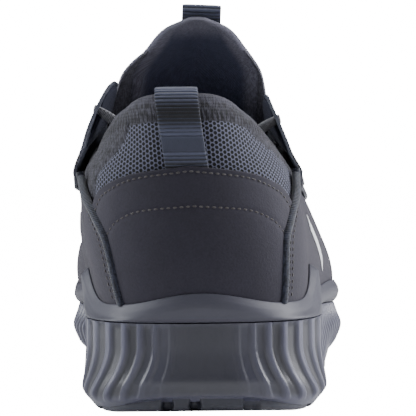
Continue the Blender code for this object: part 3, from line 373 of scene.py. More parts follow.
def filleted(loops, radius):
    """Closed profile loops with each corner replaced by a small Bezier arc of that reach."""
    made = []
    for k, here in enumerate(loops):
        before, after = loops[k - 1] - here, loops[(k + 1) % len(loops)] - here
        size = [np.linalg.norm(a, axis=-1, keepdims=True) for a in (before, after)]
        a, b = (here + d * np.minimum(radius / np.maximum(s, 1e-9), 0.45)
                for d, s in zip((before, after), size))
        made += [a, 0.25 * a + 0.5 * here + 0.25 * b, b]
    return np.array(made)


def run_along(points, axis):
    """The run in metres along an axis of a grid, from its start."""
    step = np.linalg.norm(np.diff(points, axis=axis), axis=-1)
    return np.concatenate([np.zeros_like(np.take(step, [0], axis)), np.cumsum(step, axis=axis)], axis=axis)


def metre_map(points, close_rows, close_columns, centre):
    """A grid's own UV in metres: U runs along each row from the centre column, V down each column."""
    if close_columns:
        points = np.concatenate([points, points[:, :1]], axis=1)
    if close_rows:
        points = np.concatenate([points, points[:1]], axis=0)
    across, down = run_along(points, 1), run_along(points, 0)
    return np.stack([across - across[:, centre:centre + 1], down], -1)


def placed(name, mesh, sharp):
    """A smooth object of a mesh, with its edges kept sharp over an angle."""
    mesh.shade_smooth()
    mesh.set_sharp_from_angle(angle=math.radians(sharp))
    made = bpy.data.objects.new(name, mesh)
    bpy.context.scene.collection.objects.link(made)
    return made


def grid_piece(name, points, close_rows=False, close_columns=False, flip=False, centre=0, zones=None,
               marks=None, sharp=40.0, uv=None):
    """A mesh from a grid of points: a quad between each four neighbours, closed round either way.

    zones gives a material slot for each row, and marks are named values for each point.
    """
    points = np.asarray(points, float)
    rows, columns = points.shape[:2]
    i = np.arange(rows if close_rows else rows - 1)
    j = np.arange(columns if close_columns else columns - 1)
    i, j = (a.ravel() for a in np.meshgrid(i, j, indexing="ij"))
    corners = [(i, j), (i, j + 1), (i + 1, j + 1), (i + 1, j)]
    if flip:
        corners = corners[::-1]
    quads = np.stack([(a % rows) * columns + b % columns for a, b in corners], -1)
    mesh = bpy.data.meshes.new(name)
    mesh.from_pydata(points.reshape(-1, 3).tolist(), [], quads.tolist())
    chart = metre_map(points, close_rows, close_columns, centre) if uv is None else uv
    layer = mesh.uv_layers.new(name="UVMap")
    values = np.stack([chart[a, b] for a, b in corners], 1)
    layer.data.foreach_set("uv", values.astype(np.float32).ravel())
    if zones is not None:
        mesh.polygons.foreach_set("material_index", np.asarray(zones, np.int32)[i])
    for mark, value in (marks or {}).items():
        field = mesh.attributes.new(mark, "FLOAT", "POINT")
        field.data.foreach_set("value", np.asarray(value, np.float32).ravel())
    return placed(name, mesh, sharp)


def dress(piece, finishes, slot, *nodes):
    """Gives a piece its finishes, its body and the solids that it stands for; slot is not used."""
    for one in finishes:
        piece.data.materials.append(one)
    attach(piece, "root")
    if nodes:
        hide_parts(*nodes)


def tube(name, path, radius, sides, flat, normal):
    """An oval cord along a path: an ellipse in the plane across the path at each point.

    Its thickness lies along the normals and is flat times its width. Its ends close on the path's
    own first and last points.
    """
    along = unit(np.gradient(path, axis=0))
    side = unit(np.cross(along, normal))
    off = unit(np.cross(side, along))
    turn = np.arange(sides) / sides * TAU
    wide = np.cos(turn)[None, :, None] * side[:, None] * radius
    thick = np.sin(turn)[None, :, None] * off[:, None] * radius * flat
    first, last = (np.tile(path[k][None, None], (1, sides, 1)) for k in (0, -1))
    rings = np.concatenate([first, path[:, None] + wide + thick, last])
    made = grid_piece(name, rings, close_columns=True, sharp=80)
    weld(made)
    return made


def weld(piece):
    """Merges a piece's doubles, so that its poles are closed, and turns its faces outwards."""
    work = bmesh.new()
    work.from_mesh(piece.data)
    bmesh.ops.remove_doubles(work, verts=work.verts, dist=1e-6)
    bmesh.ops.dissolve_degenerate(work, edges=work.edges, dist=1e-8)
    bmesh.ops.recalc_face_normals(work, faces=work.faces)
    work.to_mesh(piece.data)
    work.free()


def thicken(piece, thick, round_off):
    """Gives a sheet its thickness inwards and rounds its cut edges."""
    wall = piece.modifiers.new("wall", "SOLIDIFY")
    wall.thickness = thick
    wall.offset = -1.0
    wall.use_even_offset = True
    roll = piece.modifiers.new("edge", "BEVEL")
    roll.width = round_off
    roll.segments = 3
    roll.limit_method = "ANGLE"
    roll.angle_limit = math.radians(50)
    return piece


# One stitch: a capsule lying along +X, six-sided, raised in its middle
STITCH_RINGS = ((-0.50, 0.0, -0.55), (-0.44, 0.55, -0.35), (-0.28, 0.95, 0.10), (0.0, 1.05, 0.35),
                (0.28, 0.95, 0.10), (0.44, 0.55, -0.35), (0.50, 0.0, -0.55))


def stitches(name, rows, pitch, length, radius, thread, slot):
    """Sewn rows: the same small capsule set along each path at an even pitch.

    Each row is (points, normals); a capsule's long axis follows the path and its back the normal.
    """
    sides = 6
    rings = np.array(STITCH_RINGS)
    turn = np.arange(sides) / sides * TAU
    ones = np.ones(sides)
    local = np.stack([
        rings[:, :1] * length * ones,
        rings[:, 1:2] * radius * np.cos(turn),
        rings[:, 1:2] * radius * np.sin(turn) + rings[:, 2:3] * radius * ones,
    ], -1).reshape(-1, 3)
    i, j = (a.ravel() for a in np.meshgrid(np.arange(len(rings) - 1), np.arange(sides), indexing="ij"))
    k = (j + 1) % sides
    quads = np.stack([i * sides + j, i * sides + k, (i + 1) * sides + k, (i + 1) * sides + j], -1)
    points, faces = [], []
    for path, normal in rows:
        run = run_along(path[None], 1)[0]
        count = max(2, int(run[-1] / pitch))
        at = (np.arange(count) + 0.5) / count * run[-1]
        centre = np.stack([np.interp(at, run, path[:, a]) for a in range(3)], -1)
        up = unit(np.stack([np.interp(at, run, normal[:, a]) for a in range(3)], -1))
        ahead = np.stack([np.interp(at + 1e-4, run, path[:, a]) - np.interp(at - 1e-4, run, path[:, a])
                          for a in range(3)], -1)
        ahead = unit(ahead - up * (ahead * up).sum(-1, keepdims=True))
        side = np.cross(up, ahead)
        axes = np.stack([ahead, side, up], 1)
        first = sum(len(p) for p in points)
        shift = first + np.arange(count)[:, None, None] * len(local)
        points.append((centre[:, None] + local @ axes).reshape(-1, 3))
        faces.append((quads[None] + shift).reshape(-1, 4))
    mesh = bpy.data.meshes.new(name)
    mesh.from_pydata(np.concatenate(points).tolist(), [], np.concatenate(faces).tolist())
    made = placed(name, mesh, 80)
    weld(made)
    dress(made, [thread], slot)


def on_last(u, height, out):
    """Points and outward normals on the last at a share around, a height share and a distance out."""
    v = level(u, height)
    return last_out(u, v, out + collar_roll(u, v)), last_normal(u, v)


# Materials

class Nodes:
    """A short way to place nodes in a tree and join them."""

    def __init__(self, tree):
        self.tree = tree

    def join(self, socket, value):
        """Gives an input its value: a link where the value is a socket."""
        if isinstance(value, bpy.types.NodeSocket):
            self.tree.links.new(value, socket)
        else:
            socket.default_value = value

    def add(self, kind, values=None, **settings):
        """A node of a kind; values sets or links its inputs by name or number."""
        node = self.tree.nodes.new(kind)
        for name, value in settings.items():
            setattr(node, name, value)
        for name, value in (values or {}).items():
            self.join(node.inputs[name], value)
        return node

    def use(self, group, values):
        """A node group placed with its own values."""
        return self.add("ShaderNodeGroup", values, node_tree=group())

    def maths(self, operation, a, b=0.0, c=None, clamp=False):
        """One sum of the Math node."""
        values = {0: a, 1: b} if c is None else {0: a, 1: b, 2: c}
        return self.add("ShaderNodeMath", values, operation=operation, use_clamp=clamp).outputs[0]

    def times(self, a, b):
        """One value times another."""
        return self.maths("MULTIPLY", a, b)

    def wave(self, operation, angle):
        """A sine or cosine moved to 0..1."""
        return self.maths("MULTIPLY_ADD", self.maths(operation, angle), 0.5, 0.5)

    def parts(self, vector):
        """The X, Y and Z of a vector."""
        return list(self.add("ShaderNodeSeparateXYZ", {"Vector": vector}).outputs)

    def noise(self, vector, scale, detail, rough=0.5):
        """A cloudy noise."""
        values = {"Vector": vector, "Scale": scale, "Detail": detail, "Roughness": rough}
        return self.add("ShaderNodeTexNoise", values).outputs[0]

    def span(self, value, low, high, start=0.0, end=1.0):
        """A smooth map of a value from low..high to start..end."""
        values = {"Value": value, "From Min": low, "From Max": high, "To Min": start, "To Max": end}
        return self.add("ShaderNodeMapRange", values, interpolation_type="SMOOTHSTEP").outputs["Result"]

    def blend(self, share, a, b):
        """A mix of two colours."""
        return self.add("ShaderNodeMix", {0: share, 6: a, 7: b}, data_type="RGBA").outputs[2]

    def mark(self, name):
        """A named value of the mesh's points."""
        return self.add("ShaderNodeAttribute", attribute_name=name, attribute_type="GEOMETRY").outputs["Fac"]

    def emboss(self, shader, height, depth, strength):
        """Joins a height to the shader's normal through a Bump node; depth is its real reach."""
        bump = self.add("ShaderNodeBump", {"Height": height, "Distance": depth, "Strength": strength})
        self.join(shader.inputs["Normal"], bump.outputs[0])


def effect(name, **inputs):
    """A shader node group that is built once and takes a vector and the numbers in inputs.

    The function below it gets the group's nodes and inputs, and gives the outputs by name.
    """
    def wrap(build):
        def group():
            if name in bpy.data.node_groups:
                return bpy.data.node_groups[name]
            made = bpy.data.node_groups.new(name, "ShaderNodeTree")
            made.interface.new_socket("Vector", in_out="INPUT", socket_type="NodeSocketVector")
            for title, default in inputs.items():
                socket = made.interface.new_socket(title, in_out="INPUT", socket_type="NodeSocketFloat")
                socket.default_value = default
            given = made.nodes.new("NodeGroupInput")
            outputs = build(Nodes(made), {s.name: s for s in given.outputs if s.name})
            for title in outputs:
                made.interface.new_socket(title, in_out="OUTPUT", socket_type="NodeSocketFloat")
            end = made.nodes.new("NodeGroupOutput")
            for title, value in outputs.items():
                made.links.new(value, end.inputs[title])
            return made
        return group
    return wrap


@effect("nap", Scale=900.0, Broad=45.0, Fleck=0.6, Drift=0.8)
def nap_effect(n, given):
    """Short nap or moulded grain: a fine noise for its height and a broad one for its shade."""
    fine = n.noise(given["Vector"], given["Scale"], 3.0, 0.6)
    broad = n.noise(given["Vector"], given["Broad"], 2.0)
    shade = n.times(n.maths("SUBTRACT", fine, 0.5), given["Fleck"])
    drift = n.times(n.maths("SUBTRACT", broad, 0.5), given["Drift"])
    return {"Height": fine, "Shade": n.maths("ADD", n.maths("ADD", shade, drift), 0.5, clamp=True)}


@effect("heather", Loops=5200.0)
def heather_effect(n, given):
    """Heathered knit: thin streaks along V, broken by a noise, over rows of small loops."""
    stretch = n.add("ShaderNodeMapping", {"Vector": given["Vector"], "Scale": (1600.0, 380.0, 1.0)})
    streak = n.noise(stretch.outputs[0], 1.0, 2.0)
    x, y, _ = n.parts(given["Vector"])
    bow = n.times(n.maths("ABSOLUTE", n.maths("SINE", n.times(x, given["Loops"]))), 1.6)
    loops = n.wave("SINE", n.maths("ADD", n.times(y, given["Loops"]), bow))
    height = n.maths("MULTIPLY_ADD", streak, 0.6, n.times(loops, 0.5))
    return {"Height": height, "Shade": n.span(streak, 0.38, 0.62)}


@effect("net", Width=0.0016, Height=0.0016, Open=0.2)
def net_effect(n, given):
    """Open mesh: rounded holes on a centred lattice, where the sum of three cosines is high."""
    x, y, _ = n.parts(given["Vector"])
    u = n.times(x, n.maths("DIVIDE", TAU, given["Width"]))
    v = n.times(y, n.maths("DIVIDE", TAU, given["Height"]))
    crossed = n.times(n.maths("COSINE", u), n.maths("COSINE", v))
    lattice = n.maths("MULTIPLY_ADD", crossed, 2.0, n.maths("COSINE", n.times(u, 2.0)))
    hole = n.span(lattice, given["Open"], n.maths("ADD", given["Open"], 0.30))
    return {"Hole": hole, "Height": n.maths("SUBTRACT", 1.0, n.span(lattice, -0.95, 0.3))}


@effect("ribs", Pitch=0.001, Plain=0.0)
def rib_effect(n, given):
    """Webbing ribs: a rounded wave along V with fine yarns along U, switched off by Plain."""
    x, y, _ = n.parts(given["Vector"])
    wave = n.maths("POWER", n.wave("COSINE", n.times(y, n.maths("DIVIDE", TAU, given["Pitch"]))), 1.6)
    yarns = n.wave("SINE", n.times(x, 11000.0))
    plain = n.maths("SUBTRACT", 1.0, given["Plain"])
    ribs = n.maths("MULTIPLY_ADD", n.maths("SUBTRACT", wave, 0.5), plain, 0.5)
    return {"Ribs": ribs, "Height": n.maths("MULTIPLY_ADD", yarns, 0.15, ribs)}


@effect("braid", Strands=4200.0)
def braid_effect(n, given):
    """A braided cord: two families of slanted strands that pass over each other."""
    x, y, _ = n.parts(given["Vector"])
    u, v = n.times(x, given["Strands"]), n.times(y, given["Strands"])
    one = n.maths("SINE", n.maths("ADD", u, v))
    over = n.maths("MAXIMUM", one, n.maths("SINE", n.maths("SUBTRACT", u, v)))
    return {"Height": n.maths("MULTIPLY_ADD", over, 0.5, 0.5),
            "Strand": n.maths("MULTIPLY_ADD", one, 0.5, 0.5)}


@effect("dust", Reach=0.03)
def dust_effect(n, given):
    """Pale dust that settles low on the sole: a noise that thins out with the height over the floor."""
    low = n.span(n.parts(given["Vector"])[2], 0.0, given["Reach"], 1.0, 0.0)
    return {"Dust": n.times(low, n.span(n.noise(given["Vector"], 160.0, 5.0, 0.7), 0.45, 0.75))}


def rgb(colour, times):
    """A colour as four numbers, made lighter or darker."""
    return tuple(min(1.0, c * times) for c in colour[:3]) + (1.0,)


def tones(colour, dark, pale):
    """A colour's dark and pale tone."""
    return rgb(colour, dark), rgb(colour, pale)


def finish(name, roughness, **fixed):
    """A material, its nodes' helper, its shader and its coordinates; fixed gives the shader's inputs."""
    made = bpy.data.materials.new(name)
    made.use_nodes = True
    n = Nodes(made.node_tree)
    shader = made.node_tree.nodes["Principled BSDF"]
    shader.inputs["Roughness"].default_value = roughness
    for title, value in fixed.items():
        shader.inputs[title.replace("_", " ")].default_value = value
    return made, n, shader, n.add("ShaderNodeTexCoord")


def two_tone(name, roughness, source, group, values, pair, relief, shade="Shade", **fixed):
    """A material that runs between two tones with an effect's shade and is embossed by its height."""
    made, n, shader, place = finish(name, roughness, **fixed)
    node = n.use(group, {"Vector": place.outputs[source], **values})
    n.join(shader.inputs["Base Color"], n.blend(node.outputs[shade], *pair))
    n.emboss(shader, node.outputs["Height"], *relief)
    return made, n, shader, node


def nubuck(name, colour):
    """Brushed leather: a short nap, drifting shade and a pale sheen at grazing angles."""
    made, _, shader, _ = two_tone(
        name, 0.80, "Object", nap_effect, {"Scale": 1400.0, "Broad": 38.0, "Fleck": 0.9, "Drift": 1.0},
        tones(colour, 0.72, 1.30), (0.00018, 0.7),
        Sheen_Weight=0.14, Sheen_Roughness=0.45, Specular_IOR_Level=0.25)
    shader.inputs["Sheen Tint"].default_value = (0.78, 0.74, 0.80, 1)
    return made


def moulded(name, colour, roughness, reach, gloss, valley=None):
    """Moulded foam or rubber: fine grain, a little dust low down, and painted shade where a mark is given."""
    made, n, shader, place = finish(name, roughness, Specular_IOR_Level=0.28 + 0.4 * gloss,
                                    Coat_Weight=gloss, Coat_Roughness=0.34)
    spot = place.outputs["Object"]
    nap = n.use(nap_effect, {"Vector": spot, "Scale": 2200.0, "Broad": 26.0, "Fleck": 0.25, "Drift": 0.5})
    tint = n.blend(nap.outputs["Shade"], *tones(colour, 0.86, 1.14))
    if valley:
        # Painted shade: where the mark is 1 the colour falls to a quarter
        tint = n.blend(n.mark(valley), tint, rgb(colour, 0.25))
    dust = n.use(dust_effect, {"Vector": spot, "Reach": reach}).outputs[0]
    n.join(shader.inputs["Base Color"], n.blend(n.times(dust, 0.30), tint, (0.20, 0.195, 0.19, 1)))
    n.join(shader.inputs["Roughness"], n.maths("ADD", roughness, n.times(dust, 0.25), clamp=True))
    n.emboss(shader, nap.outputs["Height"], 0.00008, 0.6)
    return made


def collar_fabric(colours):
    """The collar's two fabrics: open mesh, and heathered knit where the mark knit is 1.

    The knit has a painted highlight on the rolled edge and a row of dark slits lower down, by the mark down.
    """
    made, n, shader, place = finish("collar_mesh_and_knit", 0.88, Sheen_Weight=0.07, Sheen_Roughness=0.5,
                                    Specular_IOR_Level=0.25)
    uv = place.outputs["UV"]
    net = n.use(net_effect, {"Vector": uv, "Width": 0.00285, "Height": 0.00165, "Open": -0.72})
    knit = n.use(heather_effect, {"Vector": uv})
    mask, down = n.span(n.mark("knit"), 0.35, 0.65), n.mark("down")
    # Painted shade and highlight: the yarn is paler where it stands highest and darker towards the holes, and
    # the holes are painted near black
    yarn = n.blend(net.outputs["Height"], *tones(colours.mesh, 1.1, 2.3))
    yarn = n.blend(net.outputs["Hole"], yarn, rgb(colours.mesh, 0.03))
    wool = n.blend(knit.outputs["Shade"], *tones(colours.knit, 0.36, 2.1))
    # Painted highlight: the knit turns paler over its top 1.6 mm and on the rolled edge
    wool = n.blend(n.times(n.span(down, 0.0016, 0.0002), 0.40), wool, rgb(colours.knit, 3.0))
    comb = n.span(n.maths("COSINE", n.times(n.parts(uv)[0], TAU / 0.0019)), 0.30, 0.75)
    rows = n.times(n.span(down, 0.0032, 0.0040), n.span(down, 0.0066, 0.0072, 1.0, 0.0))
    wool = n.blend(n.times(n.times(comb, rows), 0.85), wool, rgb(colours.knit, 0.15))
    n.join(shader.inputs["Base Color"], n.blend(mask, yarn, wool))
    heights = {0: mask, 2: net.outputs["Height"], 3: knit.outputs["Height"]}
    n.emboss(shader, n.add("ShaderNodeMix", heights, data_type="FLOAT").outputs[0], 0.0004, 0.9)
    return made


def cloth(name, colour, contrast, loops=5200.0, sheen=0.2, rim_colour=None):
    """A plain knit or lining; where the mark rim is 1 it takes the rim's colour."""
    made, n, shader, knit = two_tone(
        name, 0.92, "UV", heather_effect, {"Loops": loops}, tones(colour, 1 / contrast, contrast),
        (0.00025, 0.8), Sheen_Weight=sheen, Sheen_Roughness=0.5, Specular_IOR_Level=0.2)
    if rim_colour:
        plain = shader.inputs["Base Color"].links[0].from_socket
        pale = n.blend(knit.outputs["Shade"], *tones(rim_colour, 0.8, 1.25))
        n.join(shader.inputs["Base Color"], n.blend(n.mark("rim"), plain, pale))
    return made


def vamp_fabric(name, colour):
    """The vamp's close mesh: small holes painted dark as shade between heathered yarns."""
    made, n, shader, place = finish(name, 0.85, Sheen_Weight=0.25, Sheen_Roughness=0.5,
                                    Specular_IOR_Level=0.25)
    uv = place.outputs["UV"]
    net = n.use(net_effect, {"Vector": uv, "Width": 0.0024, "Height": 0.0014, "Open": 1.0})
    knit = n.use(heather_effect, {"Vector": uv})
    tint = n.blend(knit.outputs["Shade"], *tones(colour, 0.65, 1.45))
    # Painted shade: the holes take 0.15 of the colour
    n.join(shader.inputs["Base Color"], n.blend(net.outputs["Hole"], tint, rgb(colour, 0.15)))
    n.emboss(shader, net.outputs["Height"], 0.0004, 0.8)
    return made


def webbing(name, colour, pitch):
    """Ribbed webbing: a painted highlight on the rib crests and painted shade in the troughs; the mark plain
    switches the ribs off.
    """
    # Painted highlight and shade: the ribs run from 0.12 to 2.6 times the colour, with the rib height
    made, n, _, ribs = two_tone(
        name, 0.78, "UV", rib_effect, {"Pitch": pitch}, tones(colour, 0.12, 2.6), (0.0003, 0.8),
        shade="Ribs", Sheen_Weight=0.15, Specular_IOR_Level=0.35)
    n.join(ribs.inputs["Plain"], n.mark("plain"))
    return made


def braided(name, colour, strands):
    """A braided cord or thread: pale and dark strands in turn."""
    return two_tone(name, 0.8, "UV", braid_effect, {"Strands": strands}, tones(colour, 0.55, 1.5),
                    (0.0003, 0.8), shade="Strand", Sheen_Weight=0.2, Specular_IOR_Level=0.3)[0]


def coated(name, colour):
    """Smooth coated synthetic: a fine leather grain under a thin gloss."""
    made, n, shader, place = finish(name, 0.46, Coat_Weight=0.12, Coat_Roughness=0.35,
                                    Specular_IOR_Level=0.45)
    spot = place.outputs["Object"]
    grain = n.add("ShaderNodeTexVoronoi", {"Vector": spot, "Scale": 1100.0}, feature="DISTANCE_TO_EDGE")
    nap = n.use(nap_effect, {"Vector": spot, "Scale": 700.0, "Broad": 50.0, "Fleck": 0.4, "Drift": 0.6})
    n.join(shader.inputs["Base Color"], n.blend(nap.outputs["Shade"], *tones(colour, 0.8, 1.2)))
    n.emboss(shader, n.span(grain.outputs[0], 0.0, 0.12), 0.00008, 0.5)
    return made


def beaded(name, colour):
    """Pale reflective film: tiny glass beads give it a fine sparkle."""
    return two_tone(name, 0.34, "Object", nap_effect, {"Scale": 3500.0, "Fleck": 0.5, "Drift": 0.3},
                    tones(colour, 0.85, 1.1), (0.00004, 0.5), Metallic=0.10, Specular_IOR_Level=0.5)[0]


def colour_prop(title, note, default):
    """A colour that a user may change."""
    return bpy.props.FloatVectorProperty(name=title, description=note, subtype="COLOR", size=3, min=0, max=1,
                                         default=default)


def length_prop(title, note, default):
    """A length that a user may change."""
    return bpy.props.FloatProperty(name=title, description=note, unit="LENGTH", precision=5, default=default)


class SneakerColours(bpy.types.PropertyGroup):
    """Base colours of the sneaker's finishes."""

    rubber: colour_prop("Rubber", "Tread rubber", (0.032, 0.034, 0.050))
    foam: colour_prop("Foam", "Fluted midsole foam", (0.052, 0.053, 0.090))
    cradle: colour_prop("Cradle", "Smooth foam band over the midsole", (0.045, 0.045, 0.062))
    suede: colour_prop("Nubuck", "Heel, side and toe panels", (0.0205, 0.0190, 0.0290))
    piping: colour_prop("Piping", "Rolled edge beside the heel panel", (0.012, 0.014, 0.024))
    mesh: colour_prop("Mesh", "Open mesh of the collar", (0.040, 0.042, 0.062))
    knit: colour_prop("Knit", "Heathered collar band", (0.024, 0.0235, 0.031))
    lining: colour_prop("Lining", "Inside of the upper and tongue", (0.032, 0.035, 0.062))
    webbing: colour_prop("Webbing", "Pull loops", (0.024, 0.027, 0.044))
    coated: colour_prop("Coated facing", "Lace facings", (0.046, 0.051, 0.073))
    lace: colour_prop("Lace", "Braided laces", (0.19, 0.19, 0.21))
    thread: colour_prop("Thread", "Sewing thread", (0.048, 0.043, 0.044))
    film: colour_prop("Film", "Reflective strip", (0.90, 0.92, 0.97))


class SneakerSizes(bpy.types.PropertyGroup):
    """Sizes of the sneaker's details."""

    flute_pitch: length_prop("Flute pitch", "Distance between the midsole's flutes", 0.0075)
    flute_depth: length_prop("Flute depth", "Depth of the midsole's flutes", 0.0012)
    flute_sweep: length_prop("Flute sweep", "How far a flute runs forwards on its way down", 0.0085)
    stitch_pitch: length_prop("Stitch pitch", "Distance between stitches", 0.0022)
    stitch_length: length_prop("Stitch length", "Length of a stitch", 0.00155)
    stitch_radius: length_prop("Stitch radius", "Half the thickness of the thread", 0.00028)
    band: length_prop("Collar band", "Depth of the knit band under the topline", 0.0073)
    rib_pitch: length_prop("Rib pitch", "Distance between the webbing's ribs", 0.0014)
    piping: length_prop("Piping", "Radius of the rolled edge", 0.0018)


def settings():
    """The scene's colours and sizes."""
    return bpy.context.scene.sneaker_colours, bpy.context.scene.sneaker_sizes


def wall_surface(u, t, depth, sweep, count):
    """The midsole's wall: an eased profile, pushed in along the card by its flutes.

    t runs from 0 at the bottom edge to 1 at the seam. A flute follows one u from the seam down and
    drifts forwards by a smooth step; its ridges stand where the cosine of its phase is high. The
    returned shade is painted shade: 1 in the flute troughs, and high on the smooth middle of the heel too.
    """
    knots = np.linspace(0, 1, len(WALL))
    lean = sweep / SOLE_ROUND * np.sign(np.mod(u + 0.5, 1.0) - 0.5)
    lean = lean * rise(from_heel(u), 0.0, 0.04) * (1 - rise(from_heel(u), 0.42, 0.5))
    at = u + lean * rise(1 - t, 0.22, 0.92)
    radius = smooth("sole", at)
    x, y = plan(at, radius)
    fore = rise(share_at(y), 0.25, 0.55)
    heel_in, fore_in = ease(knots, WALL[:, 1], t), ease(knots, WALL[:, 3], t)
    inset = (heel_in + (fore_in - heel_in) * fore) * HEEL_WIDTH
    ridge = rise(np.cos(TAU * u * count), -0.15, 0.75)
    reach = rise(t, 0.06, 0.24) * (1 - 0.5 * rise(t, 0.96, 1.0))
    strength = 0.04 + 0.96 * rise(from_heel(u), 0.009, 0.044)
    valley = (1 - ridge) * reach * strength
    middle = 1 - rise(from_heel(u), 0.020, 0.060)
    hollow = (0.0013 * bell(t - 0.22, 0.10) - 0.0005 * bell(t - 0.07, 0.05)) * middle * np.sign(depth)
    x, y = plan(at, radius, inset + depth * valley + hollow)
    bottom = tread_under(y) + OUTSOLE_THICK * (EDGE_LOW + (EDGE_FORE - EDGE_LOW) * fore)
    height, fore_height = ease(knots, WALL[:, 0], t), ease(knots, WALL[:, 2], t)
    z = bottom + (sole_top(y) - bottom) * (height + (fore_height - height) * fore)
    low_edge = tread_under(y) + OUTSOLE_THICK * edge(EDGE, at)
    z = z + (low_edge - bottom) * np.clip(1 - t / 0.25, 0, 1) ** 2
    # Painted shade: 1 in the flute troughs and high on the heel's smooth middle, where the side lights reach
    # less
    shade = np.maximum(valley, 0.90 * (1 - rise(from_heel(u), 0.010, 0.052)) * (0.25 + 0.75 * reach))
    return np.stack([x, y, z], -1), shade


def turned_in(points, shares, height):
    """Rows that close a ring towards the spine at shares of the way, at heights a function gives."""
    spine = points.copy()
    spine[:, 0] = 0.0
    spine[:, 1] = np.clip(points[:, 1], length_at(0.115), length_at(0.62))
    rows = []
    for share in shares:
        row = points * (1 - share) + spine * share
        row[:, 2] = height(row[:, 1])
        rows.append(row)
    return rows


class SNEAKER_OT_midsole(bpy.types.Operator):
    """Builds the fluted foam midsole"""

    bl_idname = "sneaker.midsole"
    bl_label = "Midsole"

    def execute(self, context):
        colours, sizes = settings()
        count = int(round(SOLE_ROUND / sizes.flute_pitch / 2)) * 2
        u = np.arange(count * 13) / (count * 13)
        t = np.concatenate([np.linspace(0, 0.3, 16)[:-1], np.linspace(0.3, 1.0, 22)])
        grid_u, grid_t = np.meshgrid(u, t)
        wall, valley = wall_surface(grid_u, grid_t, sizes.flute_depth, sizes.flute_sweep, count)
        under = turned_in(wall[0], (0.03, 0.08), lambda y: tread_under(y) + OUTSOLE_THICK * 0.6)
        over = turned_in(wall[-1], (0.06, 0.9, 1.0), sole_top)
        hidden = turned_in(wall[0], (0.12, 0.9, 1.0), lambda y: tread_under(y) + OUTSOLE_THICK)
        rows = np.concatenate([hidden[::-1], under[::-1], wall, over])
        # The flutes' painted shade is kept as a mark for the foam's colour
        marks = np.concatenate([np.zeros((5, len(u))), valley, np.zeros((3, len(u)))])
        made = grid_piece("midsole_foam", rows, close_columns=True, marks={"valley": marks}, sharp=50)
        foam = moulded("midsole_foam_finish", colours.foam, 0.46, 0.012, 0.42, "valley")
        dress(made, [foam], "midsole_foam", "midsole")
        return {"FINISHED"}


def groove_mask(x, y):
    """1 in the tread's grooves: slanted bars outside the middle strip, and the notches at the back."""
    mask = np.zeros_like(x)
    for along, slant in GROOVES:
        tilt = math.tan(math.radians(slant))
        off = y - float(length_at(along)) - tilt * (-np.abs(x)) - 0.001 * np.sign(slant)
        mask = np.maximum(mask, rise(0.0021 - np.abs(off), 0.0, 0.0008) * rise(np.abs(x), 0.0075, 0.0090))
    back = y < length_at(0.035)
    for share, width in ((-0.340, 0.0024), (0.185, 0.0052)):
        mask = np.maximum(mask, back * rise(width / 2 + 0.0004 - np.abs(x - share * HEEL_WIDTH), 0.0, 0.0008))
    return mask


class SNEAKER_OT_outsole(bpy.types.Operator):
    """Builds the rubber tread with its lugs"""

    bl_idname = "sneaker.outsole"
    bl_label = "Outsole"

    def execute(self, context):
        colours, _ = settings()
        u = np.arange(900) / 900
        radius = smooth("sole", u)
        fore = rise(share_at(plan(u, radius)[1]), 0.25, 0.55)
        inset = OUTSOLE_INSET[0] + (OUTSOLE_INSET[1] - OUTSOLE_INSET[0]) * fore
        side = []
        for extra, up in TREAD_SIDE:
            x, y = plan(u, radius, inset + extra)
            cut = groove_mask(x, y) * (1 - rise(up, 0.45, 0.75))
            x, y = plan(u, radius, inset + extra + 0.0022 * cut)
            side.append(np.stack([x, y, tread_under(y) + OUTSOLE_THICK * up], -1))
        under = turned_in(side[0], np.linspace(0.02, 1.0, 60)[::-1], tread_under)
        sunk = np.array(under)
        sunk[..., 2] = sunk[..., 2] + 0.0026 * groove_mask(sunk[..., 0], sunk[..., 1])
        over = turned_in(side[-1], (0.05, 0.9, 1.0), lambda y: tread_under(y) + OUTSOLE_THICK - 2 * GAP)
        rows = np.concatenate([sunk, side, over])
        made = grid_piece("outsole_tread", rows, close_columns=True, sharp=50)
        channels(made)
        rubber = moulded("tread_rubber", colours.rubber, 0.55, 0.006, 0.25)
        dress(made, [rubber], "outsole_rubber", "outsole")
        return {"FINISHED"}


def channels(piece):
    """Presses two round-topped channels into the tread's back edge.

    Points within a channel's round move forwards by its depth.
    """
    mesh = piece.data
    points = np.zeros(len(mesh.vertices) * 3)
    mesh.vertices.foreach_get("co", points)
    points = points.reshape(-1, 3)
    back = float(length_at(0.0)) + OUTSOLE_INSET[0]
    z = float(tread_under(np.array(back))) + OUTSOLE_THICK * 0.40
    for share in (-0.148, -0.040):
        away = np.hypot(points[:, 0] - share * HEEL_WIDTH, np.maximum(points[:, 2] - z, 0.0))
        near = (points[:, 1] < back + 0.006) * rise(0.0021 - away, 0.0, 0.0006)
        points[:, 1] += 0.0040 * near * (points[:, 2] > tread_under(points[:, 1]) - 0.0002)
    mesh.vertices.foreach_set("co", points.ravel())


